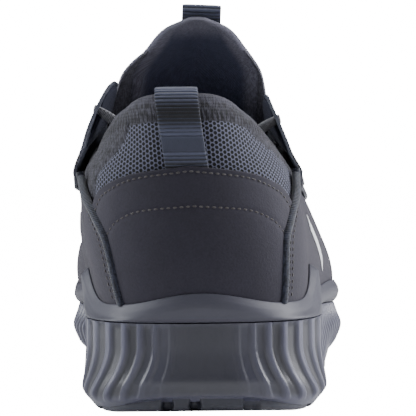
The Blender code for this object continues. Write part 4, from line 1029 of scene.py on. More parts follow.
class SNEAKER_OT_cradle(bpy.types.Operator):
    """Builds the smooth foam band that cups the upper"""

    bl_idname = "sneaker.cradle"
    bl_label = "Cradle"

    def execute(self, context):
        colours, _ = settings()
        u = np.arange(720) / 720
        rim = edge(RIM, u)
        top, shoulder = level(u, rim), level(u, rim - 0.026)
        seam = wall_surface(u, np.ones_like(u), 0.0, 0.0, 1)[0]
        seam[:, 2] += 1.2 * GAP
        horn = bell(from_heel(u) - 0.104, 0.020)
        corner = last_out(u, shoulder * 0.80, STAND + CRADLE_WALL + 0.0010 * horn)
        ledge = last_out(u, shoulder, STAND + CRADLE_LEDGE + 0.0012 * horn)
        lip = last_out(u, top, STAND - SKIN_GAP + 0.0005)
        loops = [
            foot_ring(u, -STAND, lambda y: sole_top(y) + 1.5 * GAP),
            last_out(u, top * 0.5, STAND),
            last_out(u, top * 0.98, STAND - SKIN_GAP + 0.00006),
            lip,
            ledge,
            corner,
            0.45 * corner + 0.55 * seam + last_normal(u, top * 0.5) * 0.0005,
            seam,
        ]
        loops[1][:, 2] = np.maximum(loops[1][:, 2], sole_top(loops[1][:, 1]) + 3 * GAP)
        rows = filleted(loops, 0.00045)
        made = grid_piece("cradle_band", rows, close_rows=True, close_columns=True, sharp=60)
        weld(made)
        foam = moulded("cradle_foam_finish", colours.cradle, 0.56, 0.020, 0.10)
        dress(made, [foam], "cradle_foam", "cradle")
        return {"FINISHED"}


def mesh_edge(u, height):
    """The share around where the collar's mesh panel meets the knit band, on either side."""
    lower = rise(0.90 - height, 0.0, 0.28)
    return np.where(u > 0, 0.050 + 0.038 * lower, 0.043 + 0.024 * lower)


def drawn_in(u, height):
    """How far the soft collar is drawn in towards the ankle at its sides, above the heel panel."""
    away = from_heel(u)
    reach = np.where(np.mod(u, 1.0) < 0.5, 0.0044, 0.0058)
    return reach * rise(away, 0.014, 0.060) * (1 - rise(away, 0.104, 0.150)) * rise(height, 0.60, 0.84)


def pad_swell(share):
    """How full the collar's padding is: a smooth step over the height, and a little less at the top."""
    return rise(share, 0.55, 0.84) * (1 - 0.30 * rise(share, 0.94, 1.0))


def heel_fine(fine, coarse, reach):
    """Shares around from the toe to the toe, closer together within reach of the heel's back."""
    near = np.linspace(-reach, reach, fine)
    side = np.linspace(reach, 0.5, coarse)[1:]
    return np.concatenate([-side[::-1], near, side[:-1]])


def bootie_inside(u, top, ankle):
    """The inner wall's rows, from the collar down: the last, less the wall, the padding and the draw."""
    rows = []
    for share in np.linspace(1.0, 0.06, 34):
        pad = (COLLAR_PAD - UPPER_WALL) * ankle * pad_swell(share)
        pulled = 0.55 * drawn_in(u, edge(COLLAR, u) * (0.3 + 0.7 * share))
        rows.append(last_out(u, top * share, -(UPPER_WALL + pad) - pulled))
    return rows


class SNEAKER_OT_upper(bpy.types.Operator):
    """Builds the knit and mesh bootie with its padded collar"""

    bl_idname = "sneaker.upper"
    bl_label = "Upper"

    def execute(self, context):
        colours, sizes = settings()
        u = heel_fine(361, 121, 0.16)
        top = level(u, edge(COLLAR, u))
        t = np.linspace(0.06, 1.0, 66)[:, None]
        grid_u = np.broadcast_to(u, (len(t), len(u)))
        ankle = 1 - rise(from_heel(u), *ANKLE)
        skin = last_out(grid_u, top * t, collar_roll(grid_u, top * t))
        down = run_along(skin[::-1], 0)[::-1]
        height = (skin[..., 2] - sole_top(skin[..., 1])) / QUARTER_HEIGHT
        away = from_heel(grid_u) - mesh_edge(grid_u, height)
        band = rise(sizes.band - down, -0.0006, 0.0006)
        knit = np.maximum(band, rise(away, -0.0010, 0.0010))
        under_band = np.abs(down - sizes.band) + 0.02 * (away > 0.001)
        beside_mesh = np.abs(away) * SOLE_ROUND + 0.02 * (down < sizes.band)
        seam = np.minimum(under_band, beside_mesh)
        puff = -0.0007 * bell(seam, 0.0011) + 0.0005 * np.sin(np.clip(down / sizes.band, 0, 1) * math.pi)
        folds = 0.0004 * np.sin(grid_u * 310 + height * 9) * rise(from_heel(grid_u), 0.06, 0.10)
        drawn = drawn_in(grid_u, height)
        outer = skin + (last_normal(grid_u, top * t) * ((puff + folds) * ankle - drawn)[..., None])
        depth = UPPER_WALL + (COLLAR_PAD - UPPER_WALL) * ankle * ROLL_PAD - 0.45 * drawn[-1]
        end = outer[-1]
        direction = last_normal(u, top)
        up = unit(last_point(u, top) - last_point(u, top * 0.97))
        turns = np.linspace(0, math.pi, 13)[1:-1]
        roll = [end - direction * (depth / 2 * (1 - math.cos(a)))[:, None]
                + up * (depth * ROLL_RISE * math.sin(a))[:, None] for a in turns]
        inside = bootie_inside(u, top, ankle)
        floor = [foot_ring(u, inwards, lambda y: sole_top(y) + GAP) for inwards in (LASTING_MARGIN, 0.0008)]
        ceiling = [foot_ring(u, inwards, lambda y: sole_top(y) + GAP + UPPER_WALL)
                   for inwards in (UPPER_WALL + 0.0008, LASTING_MARGIN)]
        rows = np.concatenate([floor, outer, roll, inside, ceiling])
        n = len(u)
        rolled = np.ones((len(roll), n))
        marks = np.concatenate([np.zeros((2, n)), knit, rolled, np.ones((len(inside) + 2, n))])
        depths = np.concatenate([np.ones((2, n)), down, np.zeros((len(roll) + len(inside) + 2, n))])
        zones = np.zeros(len(rows), int)
        zones[2 + len(t) + 7:] = 1
        made = grid_piece("upper_bootie", rows, close_rows=True, close_columns=True, centre=n // 2,
                          zones=zones, marks={"knit": marks, "down": depths}, sharp=60)
        vamp_faces(made, u)
        fabrics = [
            collar_fabric(colours),
            cloth("upper_lining", colours.lining, 1.4),
            vamp_fabric("vamp_mesh", colours.mesh),
        ]
        dress(made, fabrics, "upper_knit", "upper")
        return {"FINISHED"}


def vamp_faces(piece, u):
    """Gives the outer faces ahead of the ankle the vamp's finish."""
    count = len(piece.data.polygons)
    index = np.zeros(count, np.int32)
    piece.data.polygons.foreach_get("material_index", index)
    column = np.arange(count) % len(u)
    ahead = from_heel(u)[column] > ANKLE[0]
    index = np.where(ahead & (index == 0), 2, index).astype(np.int32)
    piece.data.polygons.foreach_set("material_index", index)


class SNEAKER_OT_insole(bpy.types.Operator):
    """Builds the footbed"""

    bl_idname = "sneaker.insole"
    bl_label = "Insole"

    def execute(self, context):
        colours, _ = settings()
        u = np.arange(360) / 360
        lap = 2 * GAP + UPPER_WALL
        edges = (
            (LASTING_MARGIN + 0.0014, 1.2 * GAP), (LASTING_MARGIN + 0.0014, lap), (UPPER_WALL + 0.0034, lap),
            (UPPER_WALL + 0.0026, lap + INSOLE_THICK + 0.0020),
            (UPPER_WALL + 0.0060, lap + INSOLE_THICK + 0.0011), (LASTING_MARGIN + 0.006, lap + INSOLE_THICK),
        )
        rings = [foot_ring(u, inwards, lambda y, h=h: sole_top(y) + h) for inwards, h in edges]
        under = turned_in(rings[0], (1.0,), lambda y: sole_top(y) + 1.2 * GAP)
        over = turned_in(rings[-1], np.linspace(0.1, 1.0, 12), lambda y: sole_top(y) + lap + INSOLE_THICK)
        made = grid_piece("footbed", np.concatenate([under, rings, over]), close_columns=True, sharp=60)
        dress(made, [cloth("footbed_cloth", colours.lining, 1.6, 3600.0)], "footbed", "insole")
        return {"FINISHED"}


def panel(name, u, height, creases, lift=0.0):
    """A panel on the last: a grid of shares around and height shares, laid over the upper."""
    v = level(u, height)
    out = FACE + collar_roll(u, v) + creases + lift
    made = grid_piece(name, last_out(u, v, out), sharp=60)
    return thicken(made, OVERLAY_THICK, 0.00045)


def rear_edge(height):
    """The share around of a quarter's rear edge at a height."""
    return table(REAR, height)


def toe_edge(a):
    """The height share of the toe panel's back edge: a rounded half wave from side to side."""
    return 0.235 + 0.190 * np.sin(math.pi * a) ** 0.7


def quarter_grid(sign):
    """Shares around and heights of a quarter panel, from its rear edge to the toe cap."""
    front = TOE_CAP_BACK - PANEL_GAP
    a = np.linspace(0, 1, 150) ** 1.15
    b = np.linspace(0, 1, 56)[:, None]
    along = QUARTER_START + (front - QUARTER_START) * a
    height = COUNTER_FOOT + (table(QUARTER_TOP, a)[None, :] - COUNTER_FOOT) * b
    slide = 1 - rise(a, 0.0, 0.16)
    u = along + (rear_edge(height) - QUARTER_START) * slide
    return (u if sign > 0 else 1 - u), height


class SNEAKER_OT_panels(bpy.types.Operator):
    """Builds the nubuck panels: heel counter, quarters and toe cap"""

    bl_idname = "sneaker.panels"
    bl_label = "Nubuck panels"

    def execute(self, context):
        colours, _ = settings()
        suede = nubuck("nubuck", colours.suede)
        side = np.linspace(-1, 1, 150)[None, :]
        b = np.linspace(0, 1, 90)[:, None]
        top = table(ARCH, np.abs(side))
        height = COUNTER_FOOT + (top - COUNTER_FOOT) * b
        u = side * (rear_edge(height) - PANEL_GAP)
        line = bell((top - ARCH_SEWING) - height, 0.012)
        line = line + bell(height - table(SECOND_ARCH, np.abs(side)), 0.012)
        made = panel("heel_panel", u, height, -0.00022 * line, 0.0002 * bell(height - 0.30, 0.2))
        dress(made, [suede], "suede", "heel_counter")
        for sign, node in ((1, "quarter_lateral"), (-1, "quarter_medial")):
            u, height = quarter_grid(sign)
            near = from_heel(u)
            pleats = bell(near - 0.078 - 0.012 * (height - 0.5), 0.0016) * rise(height, 0.40, 0.46)
            pleats = pleats + bell(near - 0.088 - 0.03 * (height - 0.5), 0.0016) * rise(height, 0.38, 0.44)
            folds = bell(np.mod(near * 26 + height * 1.4, 1.0) - 0.5, 0.16) * rise(near, 0.24, 0.30) * 0.5
            made = panel("side_" + node, u, height, -0.00030 * pleats - 0.00025 * folds)
            if sign < 0:
                made.data.flip_normals()
            dress(made, [suede], "suede", node)
        a = np.linspace(0, 1, 160)[None, :]
        b = np.linspace(0, 1, 40)[:, None]
        u = TOE_CAP_BACK + (1 - 2 * TOE_CAP_BACK) * a
        reach = level(u, toe_edge(a))
        foot = level(u, np.full_like(u, COUNTER_FOOT))
        v = foot + (reach - foot) * b
        u = np.broadcast_to(u, v.shape)
        made = grid_piece("toe_panel", last_out(u, v, np.full(v.shape, FACE)), sharp=60)
        dress(thicken(made, OVERLAY_THICK, 0.00045), [suede], "suede", "toe_cap")
        return {"FINISHED"}


def facing_top(u, sign):
    """The height share of a facing's top edge: the table's, times the wing's own near its end."""
    return table(EYESTAY, u, 2) * (1 + (WING_TOP[sign] - 1) * rise(0.215 - u, 0.0, 0.050))


def eyestay_grid(sign):
    """Shares around, heights and stand of an eyestay, from its wing to the throat's front."""
    u = 0.118 + (0.345 - 0.118) * np.linspace(0, 1, 110)[None, :] ** 1.25
    b = np.linspace(0, 1, 40)[:, None]
    low, stand = table(EYESTAY, u, 1), table(EYESTAY, u, 3)
    out = (SKIN_GAP + WING_STAND * stand) * (0.35 + 0.65 * rise(b, 0.0, 0.5)) + FACE
    height = low + (facing_top(u, sign) - low) * b
    u = np.broadcast_to(u, height.shape)
    return (u if sign > 0 else 1 - u), height, np.broadcast_to(out, height.shape)


class SNEAKER_OT_eyestays(bpy.types.Operator):
    """Builds the coated lace facings with their standing wings"""

    bl_idname = "sneaker.eyestays"
    bl_label = "Lace facings"

    def execute(self, context):
        colours, _ = settings()
        skin = coated("coated_facing", colours.coated)
        soft = cloth("wing_lining_knit", rgb(colours.lining, 0.55), 1.15, sheen=0.05)
        for sign, node in ((1, "eyestay_lateral"), (-1, "eyestay_medial")):
            u, height, out = eyestay_grid(sign)
            v = level(u, height)
            points = last_out(u, v, out + OVERLAY_THICK + collar_roll(u, v))
            made = grid_piece("facing_" + node, points, sharp=60, flip=sign < 0)
            dress(thicken(made, OVERLAY_THICK, 0.00045), [skin], "eyestay_coated", node)
            made = grid_piece("wing_lining_" + node[8:], wing_lining(sign), close_rows=True, sharp=80)
            weld(made)
            dress(made, [soft], "tongue_knit")
        return {"FINISHED"}


def wing_lining(sign):
    """The wing's padded lining, from just over the collar up to its top edge.

    Its thickness follows the product of two rounded half waves, so that all its edges close.
    """
    a, b = np.linspace(0, 1, 36)[None, :], np.linspace(0, 1, 30)[:, None]
    u = 0.1400 + 0.056 * a
    high, stand = facing_top(u, sign) - 0.012, table(EYESTAY, u, 3)
    low = np.minimum(edge(COLLAR, u if sign > 0 else 1 - u) + 0.035, high - 0.02)
    height = low + (high - low) * b
    u = np.broadcast_to(u if sign > 0 else 1 - u, height.shape)
    v = level(u, height)
    face = SKIN_GAP + WING_STAND * stand + FACE + 0.0001 + collar_roll(u, v)
    thick = 0.0026 * (np.sin(math.pi * a) * np.sin(math.pi * b)) ** 0.45
    return np.concatenate([last_out(u, v, face), last_out(u, v, face - thick)[::-1]])


def tongue_middle(t, k):
    """A column of the tongue's table, read at the share t of its rows."""
    return ease(np.linspace(0, 1, len(TONGUE)), TONGUE[:, k], t)


def tongue_point(t, side, deep):
    """The tongue: a parabola across a curved middle line, offset by deep off its middle surface."""
    t, side = np.broadcast_arrays(np.asarray(t, float), np.asarray(side, float))
    step = 1e-3
    dy = -TONGUE_REACH * (tongue_middle(t + step, 0) - tongue_middle(t - step, 0))
    dz = TONGUE_RISE * (tongue_middle(t + step, 1) - tongue_middle(t - step, 1))
    size = np.maximum(np.hypot(dy, dz), 1e-9)
    out_y, out_z = dz / size, -dy / size
    half = TONGUE_WIDTH / 2 * tongue_middle(t, 2)
    sag = TONGUE_WIDTH * tongue_middle(t, 3)
    turn = np.arctan2(2 * sag * side, half)
    off = -sag * side**2 + deep * np.cos(turn)
    x = half * side + LEAN * tongue_middle(t, 4) + deep * np.sin(turn)
    y = TONGUE_START_Y - TONGUE_REACH * tongue_middle(t, 0) + off * out_y
    return np.stack([x, y, HEEL_STACK + TONGUE_RISE * tongue_middle(t, 1) + off * out_z], -1)


class SNEAKER_OT_tongue(bpy.types.Operator):
    """Builds the padded tongue"""

    bl_idname = "sneaker.tongue"
    bl_label = "Tongue"

    def execute(self, context):
        colours, _ = settings()
        t = 1 - (1 - np.linspace(0, 1, 90)) ** 1.6
        turn = np.arange(96) / 96 * TAU
        c, s = np.cos(turn), np.sin(turn)
        side = np.sign(c) * np.abs(c) ** 0.55
        deep = np.sign(s) * np.abs(s) ** 0.75
        grid_t, grid_side = np.meshgrid(t, side, indexing="ij")
        pad = TONGUE_PAD * tongue_middle(grid_t, 5) / 2
        channel = 1 - 0.10 * bell(np.mod(grid_t * 7, 1.0) - 0.5, 0.12) * (deep > 0.3) * (grid_t < 0.8)
        rows = tongue_point(grid_t, grid_side, pad * deep * channel)
        start = rows[:1].mean(1, keepdims=True) * np.ones((1, 96, 1))
        end = rows[-1:].mean(1, keepdims=True) * np.ones((1, 96, 1))
        rows = np.concatenate([start, rows, end])
        half = TONGUE_WIDTH / 2 * tongue_middle(grid_t, 2)
        away = np.minimum((1 - np.abs(grid_side)) * half, (1 - grid_t) * 0.030)
        rim = np.maximum(1 - rise(away, 0.0022, 0.0060), rise(deep, 0.0, 0.3)[None, :] * np.ones_like(away))
        rim = np.concatenate([np.ones((1, 96)), rim, np.ones((1, 96))])
        made = grid_piece("tongue_pad", rows, close_columns=True, marks={"rim": rim}, sharp=80)
        weld(made)
        # The rim is the tongue's own knit, and its colour, four times the knit's, is partly painted light
        # against the shade that falls on it
        fabric = cloth("tongue_cloth", colours.lining, 1.12, sheen=0.06, rim_colour=rgb(colours.knit, 4.0))
        dress(made, [fabric], "tongue_knit", "tongue")
        return {"FINISHED"}


# How far the gusset spreads from the tongue's edge, in millimetres: (row, medial, lateral)
GUSSET = np.array((
    (0.10, 6.0, 4.0), (0.30, 8.0, 4.5), (0.45, 8.5, 4.5), (0.540, 8.0, 4.2), (0.59, 6.6, 3.4),
    (0.63, 5.2, 2.4), (0.68, 3.8, 1.2), (0.73, 2.2, 0.6), (0.77, 0.2, 0.2),
))


class SNEAKER_OT_gussets(bpy.types.Operator):
    """Builds the knit gussets that join the tongue's edges to the bootie"""

    bl_idname = "sneaker.gussets"
    bl_label = "Tongue gussets"

    def execute(self, context):
        colours, _ = settings()
        # Painted light: the gusset's knit is 2.2 times the knit colour, so that it stays pale in the shade
        # beside the tongue
        fabric = cloth("gusset_knit", rgb(colours.knit, 2.2), 1.3)
        t = np.linspace(GUSSET[0, 0], GUSSET[-1, 0], 80)[:, None]
        for sign, name, k in ((1, "lateral", 2), (-1, "medial", 1)):
            spread = table(GUSSET, t, k) / 1000
            share = np.linspace(0, 1, 24)[None, :]
            away = np.array([sign, -0.35, -0.12]) * (spread * share)[..., None]
            points = tongue_point(t + 0 * share, sign * 0.985, 0.0004) + away
            made = grid_piece("tongue_gusset_" + name, points, flip=sign > 0, sharp=80)
            thicken(made, 0.0016, 0.0006)
            dress(made, [fabric], "tongue_knit")
        side = np.linspace(-1, 1, 49)
        around = 0.5 - 0.150 * side
        start = tongue_point(0.05, side * 0.97, 0.0)
        front = last_out(around, np.full_like(side, 0.955), np.full_like(side, -(UPPER_WALL + 0.0010)))
        share = np.linspace(0, 1, 16)[:, None, None]
        sag = np.array([0.0, 0.0, -0.0015]) * np.sin(math.pi * share)
        made = grid_piece("tongue_root", start * (1 - share) + front * share + sag, flip=True, sharp=80)
        dress(thicken(made, 0.0012, 0.0004), [fabric], "tongue_knit")
        return {"FINISHED"}


def strip(name, path, across, width, thick, plain):
    """A webbing strip: its path swept by a flat bar with rounded long edges.

    The bar is a superellipse of the strip's width and thickness, so the piece is one closed ring;
    plain is 1 where the webbing has no ribs.
    """
    off = unit(np.cross(np.gradient(path, axis=0), across))
    turn = np.arange(36) / 36 * TAU
    c, s = np.cos(turn), np.sin(turn)
    wide = np.sign(c) * np.abs(c) ** 0.30 * width / 2
    high = np.sign(s) * np.abs(s) ** 0.45 * thick / 2
    rings = path[:, None] + across[:, None] * wide[None, :, None] + off[:, None] * high[None, :, None]
    ends = [np.tile(path[k][None, None], (1, len(turn), 1)) for k in (0, -1)]
    rings = np.concatenate([ends[0], rings, ends[1]])
    run = run_along(path[None], 1)[0]
    run = np.concatenate([run[:1], run, run[-1:]])
    chart = np.stack([np.broadcast_to(np.append(wide, wide[0]), (len(rings), len(turn) + 1)),
                      np.broadcast_to(run[:, None], (len(rings), len(turn) + 1))], -1)
    plain = np.concatenate([plain[:1], plain, plain[-1:]])[:, None] * np.ones(len(turn))
    made = grid_piece(name, rings, close_columns=True, marks={"plain": plain}, sharp=60, uv=chart)
    weld(made)
    return made


def resampled(path, step):
    """A path's points at an even step, through a smooth curve of its own points."""
    path = np.asarray(path)
    run = run_along(path[None], 1)[0]
    at = np.linspace(0, run[-1], max(8, int(run[-1] / step)))
    fine = np.stack([np.interp(at, run, path[:, k]) for k in range(3)], -1)
    for _ in range(int(0.0015 / step)):
        fine[1:-1] = 0.25 * fine[:-2] + 0.5 * fine[1:-1] + 0.25 * fine[2:]
    return fine, at


def ribbed(path, across, run, pitch, thick, plain):
    """Lifts a strip's path by its ribs, so that its edges show them too."""
    off = unit(np.cross(np.gradient(path, axis=0), across))
    wave = np.cos(run / pitch * TAU) * (1 - plain)
    return path + off * (wave * thick * 0.11)[:, None]


def heel_loop_path():
    """The heel loop's path: up the collar's back, over its roll and down inside it."""
    base = np.array([-0.0045])
    top = float(level(base, edge(COLLAR, base))[0])
    off = 0.0010 + WEBBING_THICK / 2
    start = float(level(base, np.array([0.655]))[0])
    path = []
    for t in np.linspace(0, 1, 14):
        v = np.array([start + (top - start) * t])
        lean = base + 0.0030 * (1 - t)
        sunk = off - 0.0016 * (1 - float(rise(t, 0.02, 0.20)))
        path.append(last_out(lean, v, collar_roll(lean, v) + sunk)[0])
    depth = UPPER_WALL + (COLLAR_PAD - UPPER_WALL) * ROLL_PAD
    up = unit(last_point(base, np.array([top])) - last_point(base, np.array([top * 0.97])))[0]
    for turn in np.radians([35, 65, 90, 115, 145]):
        out = -depth / 2 + (depth / 2 + off) * math.cos(turn)
        point = last_out(base, np.array([top]), np.array([out]))[0]
        path.append(point + up * (depth * ROLL_RISE + off) * math.sin(turn))
    for t in (1.0, 0.95, 0.90, 0.85):
        inner = -(UPPER_WALL + (COLLAR_PAD - UPPER_WALL) * float(pad_swell(t))) - off - 2 * SKIN_GAP
        path.append(last_out(base, np.array([top * t]), np.array([inner]))[0])
    return path


def tongue_loop_path():
    """The tongue loop's path: up the tongue's face, a half turn over its top and back to its foot."""
    front = TONGUE_PAD / 2 + GAP + WEBBING_THICK / 2 + 0.0004
    near = tongue_point(0.66, 0.0, front)
    lean = unit(tongue_point(0.93, 0.0, front) - near)
    away = np.array([0.0, lean[2], -lean[1]])
    reach = (HEEL_STACK + TONGUE_RISE + 0.0026 - near[2]) / lean[2]
    radius = 0.0015
    path = [near + lean * reach * s for s in np.linspace(0, 1, 8)]
    centre = path[-1] + away * radius
    for turn in np.radians([35, 70, 110, 145]):
        path.append(centre - away * radius * math.cos(turn) + lean * radius * math.sin(turn))
    path += [near + away * 2 * radius + lean * reach * s for s in np.linspace(1, 0, 8)]
    return np.array(path) - np.array([0.0008 + near[0], 0.0, 0.0])


class SNEAKER_OT_loops(bpy.types.Operator):
    """Builds the two webbing pull loops"""

    bl_idname = "sneaker.loops"
    bl_label = "Pull loops"

    def execute(self, context):
        colours, sizes = settings()
        tape = webbing("loop_webbing", colours.webbing, sizes.rib_pitch)
        for name, path, slant in (("heel", heel_loop_path(), 0.0), ("tongue", tongue_loop_path(), -0.05)):
            path, run = resampled(path, 0.00012)
            across = np.tile(unit(np.array([1.0, 0.0, slant])), (len(path), 1))
            height = path[:, 2]
            plain = rise(height, 0.0895, 0.0905) * (1 - rise(height, 0.0942, 0.0952))
            plain = plain * (run < run[-1] * 0.55) if name == "heel" else np.zeros(len(run))
            path = ribbed(path, across, run, sizes.rib_pitch, WEBBING_THICK, plain)
            made = strip(name + "_pull_loop", path, across, WEBBING_WIDTH, WEBBING_THICK, plain)
            dress(made, [tape], "webbing", name + "_loop")
        return {"FINISHED"}


def spot(u, height, out):
    """One point: u around the last, at a height share and a distance out."""
    u = np.array([u])
    return last_out(u, level(u, np.array([height])), np.array([out]))[0]


def lace_path(at):
    """A lace bar: a chord between its eyelets, bowed up over the tongue and let into the facings."""
    top = float(table(EYESTAY, np.array([at]), 2)[0]) - 0.012
    ends, dips = [], []
    for u in (1 - at, at):
        ends.append(spot(u, top, 2 * FACE + 0.0022))
        dips.append([spot(u, top - 0.055, out) for out in (2 * FACE + 0.0010, 0.0012)])
    t = np.linspace(0, 1, 200)
    line = tongue_point(t, 0.0, TONGUE_PAD * tongue_middle(t, 5) / 2 + 0.001 + 2 * GAP)
    middle = line[np.argmin(np.abs(line[:, 1] - (ends[0][1] + ends[1][1]) / 2))]
    middle[2] = max(middle[2], (ends[0][2] + ends[1][2]) / 2 + 0.0036)
    s = np.linspace(-1, 1, 25)[:, None]
    chord = (ends[0] * (1 - s) + ends[1] * (1 + s)) / 2
    arch = chord + (middle - (ends[0] + ends[1]) / 2) * (1 - np.abs(s) ** 3.2)
    starts = [[dips[0][1]], [dips[1][1]]]
    if at == LACES[0]:
        starts = [wing_run(-1) + starts[0], starts[1] + wing_run(1)[::-1]]
    return np.concatenate([starts[0], [dips[0][0]], arch, [dips[1][0]], starts[1]])


# The top lace's run to the wing's eyelet: (around, height, out) from its end outside the wing
WING_RUN = {
    -1: ((0.1425, 0.925, 0.0052), (0.1420, 0.924, 0.0030), (0.1415, 0.921, 0.0005), (0.1415, 0.912, -0.0025),
         (0.1435, 0.897, -0.0050), (0.149, 0.872, -0.0060), (0.170, 0.838, -0.0042), (0.195, 0.800, -0.0022)),
    1: ((0.1405, 0.872, 0.0052), (0.1400, 0.871, 0.0030), (0.1395, 0.869, 0.0005), (0.1395, 0.862, -0.0025),
        (0.1415, 0.850, -0.0050), (0.149, 0.832, -0.0060), (0.170, 0.808, -0.0042), (0.195, 0.780, -0.0022)),
}


def wing_run(sign):
    """The points of the top lace between the first eyelet and the wing's, inside the facing."""
    rows = np.array(WING_RUN[sign])
    u = rows[:, 0] if sign > 0 else 1 - rows[:, 0]
    return list(last_out(u, level(u, rows[:, 1]), rows[:, 2]))


class SNEAKER_OT_laces(bpy.types.Operator):
    """Builds the lace bars and their eyelets"""

    bl_idname = "sneaker.laces"
    bl_label = "Laces"

    def execute(self, context):
        colours, _ = settings()
        braid = braided("lace_braid", colours.lace, 4200.0)
        ring = coated("eyelet_rim", colours.lining)
        for number, at in enumerate(LACES):
            path, _ = resampled(lace_path(at), 0.0008)
            forward = np.tile([0.0, 0.52, 0.85], (len(path), 1))
            made = tube("lace_run_%d" % (number + 1), path, 0.0027, 20, 0.46, forward)
            dress(made, [braid], "lace_cord", "lace_%d" % (number + 1))
        turn = np.linspace(0, TAU, 25)
        for sign, side in ((1, "lateral"), (-1, "medial")):
            rims = []
            for at in LACES:
                top = float(table(EYESTAY, np.array([at]), 2)[0]) - 0.067
                u = np.mod(np.full(25, sign * at) + 0.0042 * np.cos(turn), 1.0)
                rims.append(on_last(u, top + 0.040 * np.sin(turn), 2 * FACE + 0.0002))
            stitches("eyelet_sewing_" + side, rims, 0.0007, 0.0011, 0.00035, ring, "eyestay_coated")
        return {"FINISHED"}


def row_on_panel(u, height, out=0.0):
    """A sewn row on a panel: its path and normals just over the panel's face."""
    return on_last(u, height, FACE + out)


class SNEAKER_OT_seams(bpy.types.Operator):
    """Builds the piping, the sewn rows and the reflective strips"""

    bl_idname = "sneaker.seams"
    bl_label = "Seams and strips"

    def execute(self, context):
        colours, sizes = settings()
        thread = braided("sewing_thread", colours.thread, 9000.0)
        rolled = cloth("piping_knit", colours.piping, 1.7, 7000.0, 0.3)
        film = beaded("reflective_film", colours.film)
        rows = []
        side = np.linspace(-0.985, 0.985, 90)
        for curve, below in ((ARCH, ARCH_SEWING), (SECOND_ARCH, 0.0)):
            height = table(curve, np.abs(side)) - below
            u = side * (rear_edge(height) - PANEL_GAP)
            rows.append(row_on_panel(u, height, -0.00015))
        for sign in (1, -1):
            height = np.linspace(0.10, 0.645, 70)
            for aside in (0.0030, 0.0050):
                rows.append(row_on_panel(sign * (rear_edge(height) + aside), height))
            a = np.linspace(0.03, 0.96, 140)
            u = QUARTER_START + (TOE_CAP_BACK - 0.054) * a
            u = u + (rear_edge(table(QUARTER_TOP, a)) - QUARTER_START) * (1 - rise(a, 0.0, 0.16))
            rows.append(row_on_panel(sign * u, table(QUARTER_TOP, a) - 0.024, -0.00042))
            stay, high, out = eyestay_grid(sign)
            for k in (2, -3):
                v = level(stay[k], high[k])
                stand = out[k] + OVERLAY_THICK + collar_roll(stay[k], v) - 0.00055
                rows.append((last_out(stay[k], v, stand), last_normal(stay[k], v)))
        a = np.linspace(0.03, 0.97, 120)
        u = TOE_CAP_BACK + (1 - 2 * TOE_CAP_BACK) * a
        for below in (0.022, 0.046):
            rows.append(row_on_panel(u, toe_edge(a) - below))
        stitches("sewn_rows", rows, sizes.stitch_pitch, sizes.stitch_length, sizes.stitch_radius,
                 thread, "suede")
        for sign, name in ((1, "lateral"), (-1, "medial")):
            foot = float(edge(RIM, rear_edge(np.array([0.08])))[0]) - 0.004
            height = np.linspace(foot, 0.655, 90)
            u = sign * (rear_edge(height) - 0.3 * PANEL_GAP)
            path, normal = on_last(u, height, SKIN_GAP + OVERLAY_THICK * 0.90)
            made = tube("piping_" + name, path, sizes.piping, 12, 0.85, normal)
            dress(made, [rolled], "suede")
            a = np.linspace(0, 1, 24)[None, :]
            b = np.linspace(-0.5, 0.5, 5)[:, None]
            height = 0.400 - 0.200 * a + 0.072 * b
            u = np.broadcast_to(0.150 + 0.058 * a, height.shape)
            v = level(u, height)
            u = u if sign > 0 else 1 - u
            face = last_out(u, v, np.full(v.shape, FACE + 0.00035))
            made = grid_piece("reflective_strip_" + name, face, flip=sign < 0)
            dress(thicken(made, 0.00025, 0.0001), [film], "suede")
        return {"FINISHED"}


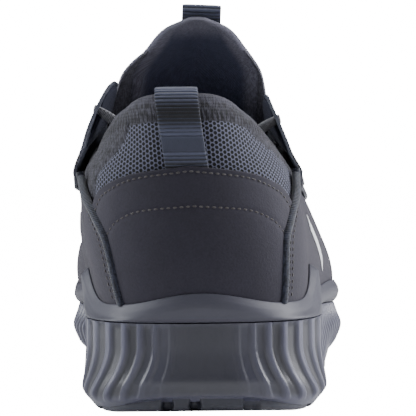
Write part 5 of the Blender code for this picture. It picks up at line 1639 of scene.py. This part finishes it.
class SNEAKER_OT_stage(bpy.types.Operator):
    """Builds the floor, the lights and the camera"""

    bl_idname = "sneaker.stage"
    bl_label = "Stage"

    def execute(self, context):
        scene = context.scene
        corners = np.array([[[x, y, 0.0] for x in (-6.0, 6.0)] for y in (-6.0, 6.0)])
        floor = grid_piece("floor", corners)
        pale, n, shader, _ = finish("pale_floor", 0.9)
        shader.inputs["Base Color"].default_value = (0.86, 0.86, 0.86, 1)
        rays = n.add("ShaderNodeLightPath")
        glow = n.add("ShaderNodeEmission", {"Color": (1, 1, 1, 1), "Strength": 18.0})
        share = n.times(rays.outputs["Is Camera Ray"], 0.90)
        mixed = n.add("ShaderNodeMixShader", {0: share, 1: shader.outputs[0], 2: glow.outputs[0]})
        n.join(pale.node_tree.nodes["Material Output"].inputs["Surface"], mixed.outputs[0])
        floor.data.materials.append(pale)

        world = bpy.data.worlds.new("studio")
        scene.world = world
        world.use_nodes = True
        w = Nodes(world.node_tree)
        rays = w.add("ShaderNodeLightPath")
        strength = w.maths("MULTIPLY_ADD", rays.outputs["Is Camera Ray"], 17.0, 0.15)
        ground = world.node_tree.nodes["Background"]
        w.join(ground.inputs["Color"], (0.98, 0.99, 1.0, 1))
        w.join(ground.inputs["Strength"], strength)

        for name, where, size, power, tint in (
            ("right_box", (1.5, 0.25, 0.75), 1.2, 67.0, (0.96, 0.97, 1.0)),
            ("left_box", (-1.5, 0.15, 0.75), 1.2, 42.0, (0.94, 0.97, 1.0)),
            ("top_box", (0.0, 0.1, 1.8), 1.6, 12.0, (1.0, 1.0, 1.0)),
            ("fill_box", (-0.3, -1.8, 1.0), 1.5, 2.5, (0.94, 0.95, 1.0)),
        ):
            light = bpy.data.lights.new(name, "AREA")
            light.energy, light.size, light.color = power, size, tint
            lamp = bpy.data.objects.new(name, light)
            scene.collection.objects.link(lamp)
            lamp.location = where
            aim = Vector((0, 0.1, 0.05)) - lamp.location
            lamp.rotation_euler = aim.to_track_quat("-Z", "Y").to_euler()

        lens = bpy.data.cameras.new("camera")
        lens.sensor_width = 36.0
        lens.lens = FOCAL / FRAME * lens.sensor_width
        lens.shift_x = SHIFT / FRAME
        lens.clip_start, lens.clip_end = 0.05, 20.0
        camera = bpy.data.objects.new("camera", lens)
        scene.collection.objects.link(camera)
        pitch = math.atan(FALL / FOCAL)
        camera.matrix_world = (Matrix.Translation((0.0, -0.845, 0.090))
                               @ Matrix.Rotation(math.pi / 2 - pitch, 4, "X")
                               @ Matrix.Rotation(math.radians(-0.6), 4, "Z"))
        scene.camera = camera
        return {"FINISHED"}


STEPS = (
    SNEAKER_OT_stage, SNEAKER_OT_outsole, SNEAKER_OT_midsole, SNEAKER_OT_cradle, SNEAKER_OT_insole,
    SNEAKER_OT_upper, SNEAKER_OT_panels, SNEAKER_OT_eyestays, SNEAKER_OT_tongue, SNEAKER_OT_gussets,
    SNEAKER_OT_loops, SNEAKER_OT_laces, SNEAKER_OT_seams,
)


class SNEAKER_PT_panel(bpy.types.Panel):
    """Lists the sneaker's steps, colours and sizes"""

    bl_idname = "SNEAKER_PT_panel"
    bl_label = "Safety sneaker"
    bl_space_type = "VIEW_3D"
    bl_region_type = "UI"
    bl_category = "Sneaker"

    def draw(self, context):
        for step in STEPS:
            self.layout.operator(step.bl_idname)
        for group in settings():
            box = self.layout.box()
            for name in group.__annotations__:
                box.prop(group, name)


CLASSES = (SneakerColours, SneakerSizes, *STEPS, SNEAKER_PT_panel)


def register():
    """Registers the classes and their settings."""
    for kind in CLASSES:
        bpy.utils.register_class(kind)
    bpy.types.Scene.sneaker_colours = bpy.props.PointerProperty(type=SneakerColours)
    bpy.types.Scene.sneaker_sizes = bpy.props.PointerProperty(type=SneakerSizes)


def unregister():
    """Takes the classes and their settings back."""
    del bpy.types.Scene.sneaker_colours
    del bpy.types.Scene.sneaker_sizes
    for kind in reversed(CLASSES):
        bpy.utils.unregister_class(kind)


def main():
    """Registers the add-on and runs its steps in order."""
    register()
    for step in STEPS:
        group, name = step.bl_idname.split(".")
        getattr(getattr(bpy.ops, group), name)()


if __name__ == "__main__":
    main()
